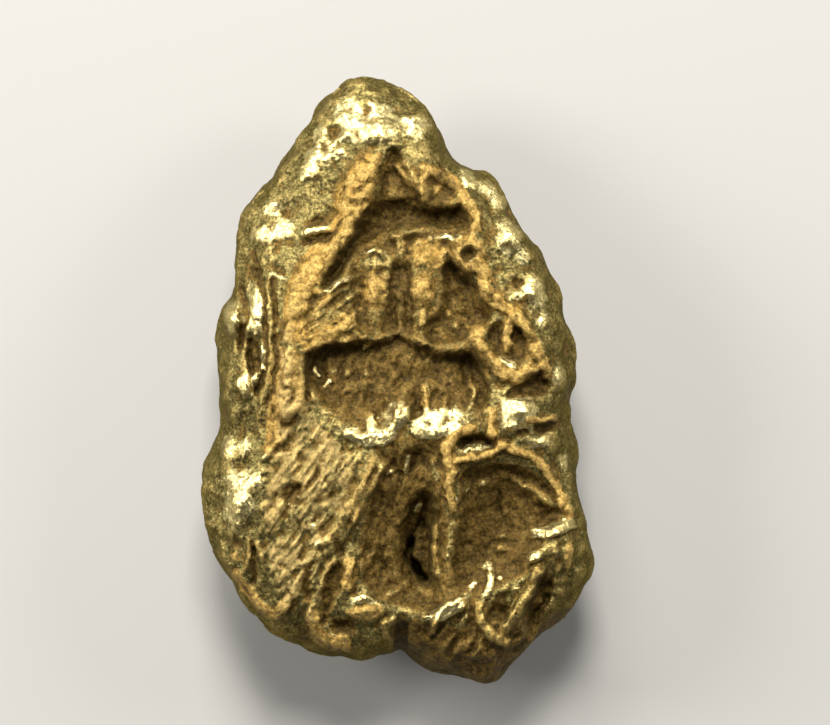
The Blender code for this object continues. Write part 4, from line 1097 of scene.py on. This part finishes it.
HAMMERING = {
    "Dent Breadth": 1.1 * MM, "Dent Depth": 0.24 * MM, "Pit Breadth": 0.5 * MM,
    "Pit Depth": 0.1 * MM, "Grain Breadth": 0.16 * MM, "Grain Depth": 0.03 * MM,
    "Gold": native_gold(),
}
ROUGH_VOXEL = 1.2 * VOXEL  # how broad the faces are that the relief is worn into
RESTING_HEIGHT = 0.3  # under this the surface is left smooth, to lie on

low, high = (np.array(corner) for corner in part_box("nugget"))
even = even_mesh(mesh_from(*rounded_form(), "pillow"), ROUGH_VOXEL)
set_points(even, worn(vertex_values(even, "co"), vertex_values(even, "normal")) * MM)
even = even_mesh(even, VOXEL * MM)
points = vertex_values(even, "co") / MM
_, rubbed, stained, _ = relief(points[:, :2])
store(even, "flank", (1 - rubbed) * (1 - stained))
store(even, "free", soft_step(0.0, RESTING_HEIGHT, points[:, 2]))

nugget = bpy.data.objects.new("gold_nugget", even)
bpy.context.scene.collection.objects.link(nugget)
hammering = nugget.modifiers.new("hammering", "NODES")
hammering.node_group = hammering_tree()
for item in hammering.node_group.interface.items_tree:
    if item.name in HAMMERING:
        hammering[item.identifier] = HAMMERING[item.name]
thinning = nugget.modifiers.new("thinning", "DECIMATE")
thinning.ratio = min(1.0, TRIANGLES / (2 * len(even.polygons)))
thinning.use_collapse_triangulate = True
nugget.data = evaluated_mesh(nugget)
nugget.modifiers.clear()
remove_crumbs(nugget.data)

# Between which values the masks of the finish turn on or off: how far up a face points, its
# height over the floor, and how sharply the surface is bent.
RELIEF_FACES, RELIEF_HEIGHTS = (-0.2, 0.2), (2.0, 3.2)
STEEP_FACES, LOW_HEIGHTS = (0.1, 0.55), (2.6, 4.2)
SHARP_BEND = (0.2, 3.0)
STEEP_SHADE = 0.75  # how much painted shade a steep face gets

points, normals = vertex_values(nugget.data, "co") / MM, vertex_values(nugget.data, "normal")
upward = soft_step(*RELIEF_FACES, normals[:, 2]) * soft_step(*RELIEF_HEIGHTS, points[:, 2])
steep = 1 - soft_step(*STEEP_FACES, normals[:, 2])
low_down = 1 - soft_step(*LOW_HEIGHTS, points[:, 2])
edges = np.empty(2 * len(nugget.data.edges), np.int32)
nugget.data.edges.foreach_get("vertices", edges)
bend = hollowness(points, normals, edges.reshape(-1, 2))
_, rubbed, stained, polish_and_highlight = relief(points[:, :2])
masks = {
    "rubbed": rubbed * upward,
    "stained": stained * upward,
    "polish_and_highlight": polish_and_highlight * upward,
    "streaked": ground(drawn_at(points[:, :2]), STREAK_FADE, STREAKED_FIELD) * upward,
    # painted shade: steep faces and all that lies low are darkened
    "shade": np.maximum(STEEP_SHADE * steep, low_down),
    # darker in sharp creases: partly stain, partly painted shade
    "crease": soft_step(*SHARP_BEND, bend),
    "edge": soft_step(*SHARP_BEND, -bend),
}
for name, mask in masks.items():
    store(nugget.data, name, mask)
set_points(nugget.data, fit_box(points * MM, low, high))
nugget.data.shade_smooth()
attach(nugget, "root")
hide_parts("nugget")

# ------------------------------------------------------------------------------------------
# The floor: a round sheet of pale matte board, laid flat under the nugget, and so wide that its
# rim stays out of sight.

FLOOR_RADIUS = 1.2
FLOOR_CORNERS = 128
BOARD_COLOUR = (0.31, 0.306, 0.295, 1.0)
BOARD_ROUGHNESS = 0.9

floor_mesh = bpy.data.meshes.new("floor")
turns = np.linspace(0, 2 * np.pi, FLOOR_CORNERS, endpoint=False)
rim = [(FLOOR_RADIUS * np.cos(t), FLOOR_RADIUS * np.sin(t), 0.0) for t in turns]
floor_mesh.from_pydata(rim, [], [list(range(len(rim)))])
floor = bpy.data.objects.new("floor", floor_mesh)
bpy.context.scene.collection.objects.link(floor)
board = bpy.data.materials.new("pale_board")
board.use_nodes = True
board_shader = board.node_tree.nodes["Principled BSDF"]
board_shader.inputs["Base Color"].default_value = BOARD_COLOUR
board_shader.inputs["Roughness"].default_value = BOARD_ROUGHNESS
floor_mesh.materials.append(board)

# ------------------------------------------------------------------------------------------
# The light: soft boxes, each a square of cloth lit from behind. Two stand past the nugget's
# narrow end, a high one and a low one, and a weaker one stands at each side, in a dim room.

LAMP_COLOUR = (1.0, 0.97, 0.92)
ROOM_COLOUR = (0.97, 0.97, 0.95, 1.0)
ROOM_STRENGTH = 0.18
SOFT_BOXES = [
    # place, side length, watts
    ((0.0, 0.18, 0.24), 0.09, 1.3),
    ((-0.04, 0.25, 0.13), 0.09, 0.9),
    ((-0.22, 0.06, 0.13), 0.11, 0.75),
    ((0.22, 0.09, 0.14), 0.09, 0.4),
]
for number, (place, side, power) in enumerate(SOFT_BOXES):
    lamp = bpy.data.lights.new(f"soft_box_{number + 1}", "AREA")
    lamp.size = side
    lamp.energy = power
    lamp.color = LAMP_COLOUR
    box = bpy.data.objects.new(lamp.name, lamp)
    box.location = place
    box.rotation_euler = (-Vector(place)).to_track_quat("-Z", "Y").to_euler()
    box.visible_camera = False
    bpy.context.scene.collection.objects.link(box)

room = bpy.data.worlds.new("room")
room.use_nodes = True
room.node_tree.nodes["Background"].inputs["Color"].default_value = ROOM_COLOUR
room.node_tree.nodes["Background"].inputs["Strength"].default_value = ROOM_STRENGTH
bpy.context.scene.world = room

# ------------------------------------------------------------------------------------------
# The camera: straight above on a long lens, with the narrow end at the top of the picture. Its
# height follows from how much the picture takes in.

LENS = 200.0
SENSOR = 36.0
PICTURE_WIDTH = 33.2  # how much of the girth's plane the picture takes in, across
CENTRE = (0.68, 0.70)
CLIPPING = (0.001, 3.0)  # the nearest and the farthest that it sees, in metres

camera_data = bpy.data.cameras.new("camera")
camera_data.lens = LENS
camera_data.sensor_width = SENSOR
camera_data.clip_start, camera_data.clip_end = CLIPPING
camera = bpy.data.objects.new("camera", camera_data)
rise = PICTURE_WIDTH * LENS / SENSOR + GIRTH_HEIGHT
camera.location = (CENTRE[0] * MM, CENTRE[1] * MM, rise * MM)
bpy.context.scene.collection.objects.link(camera)
bpy.context.scene.camera = camera
bpy.context.scene.view_settings.view_transform = "Standard"
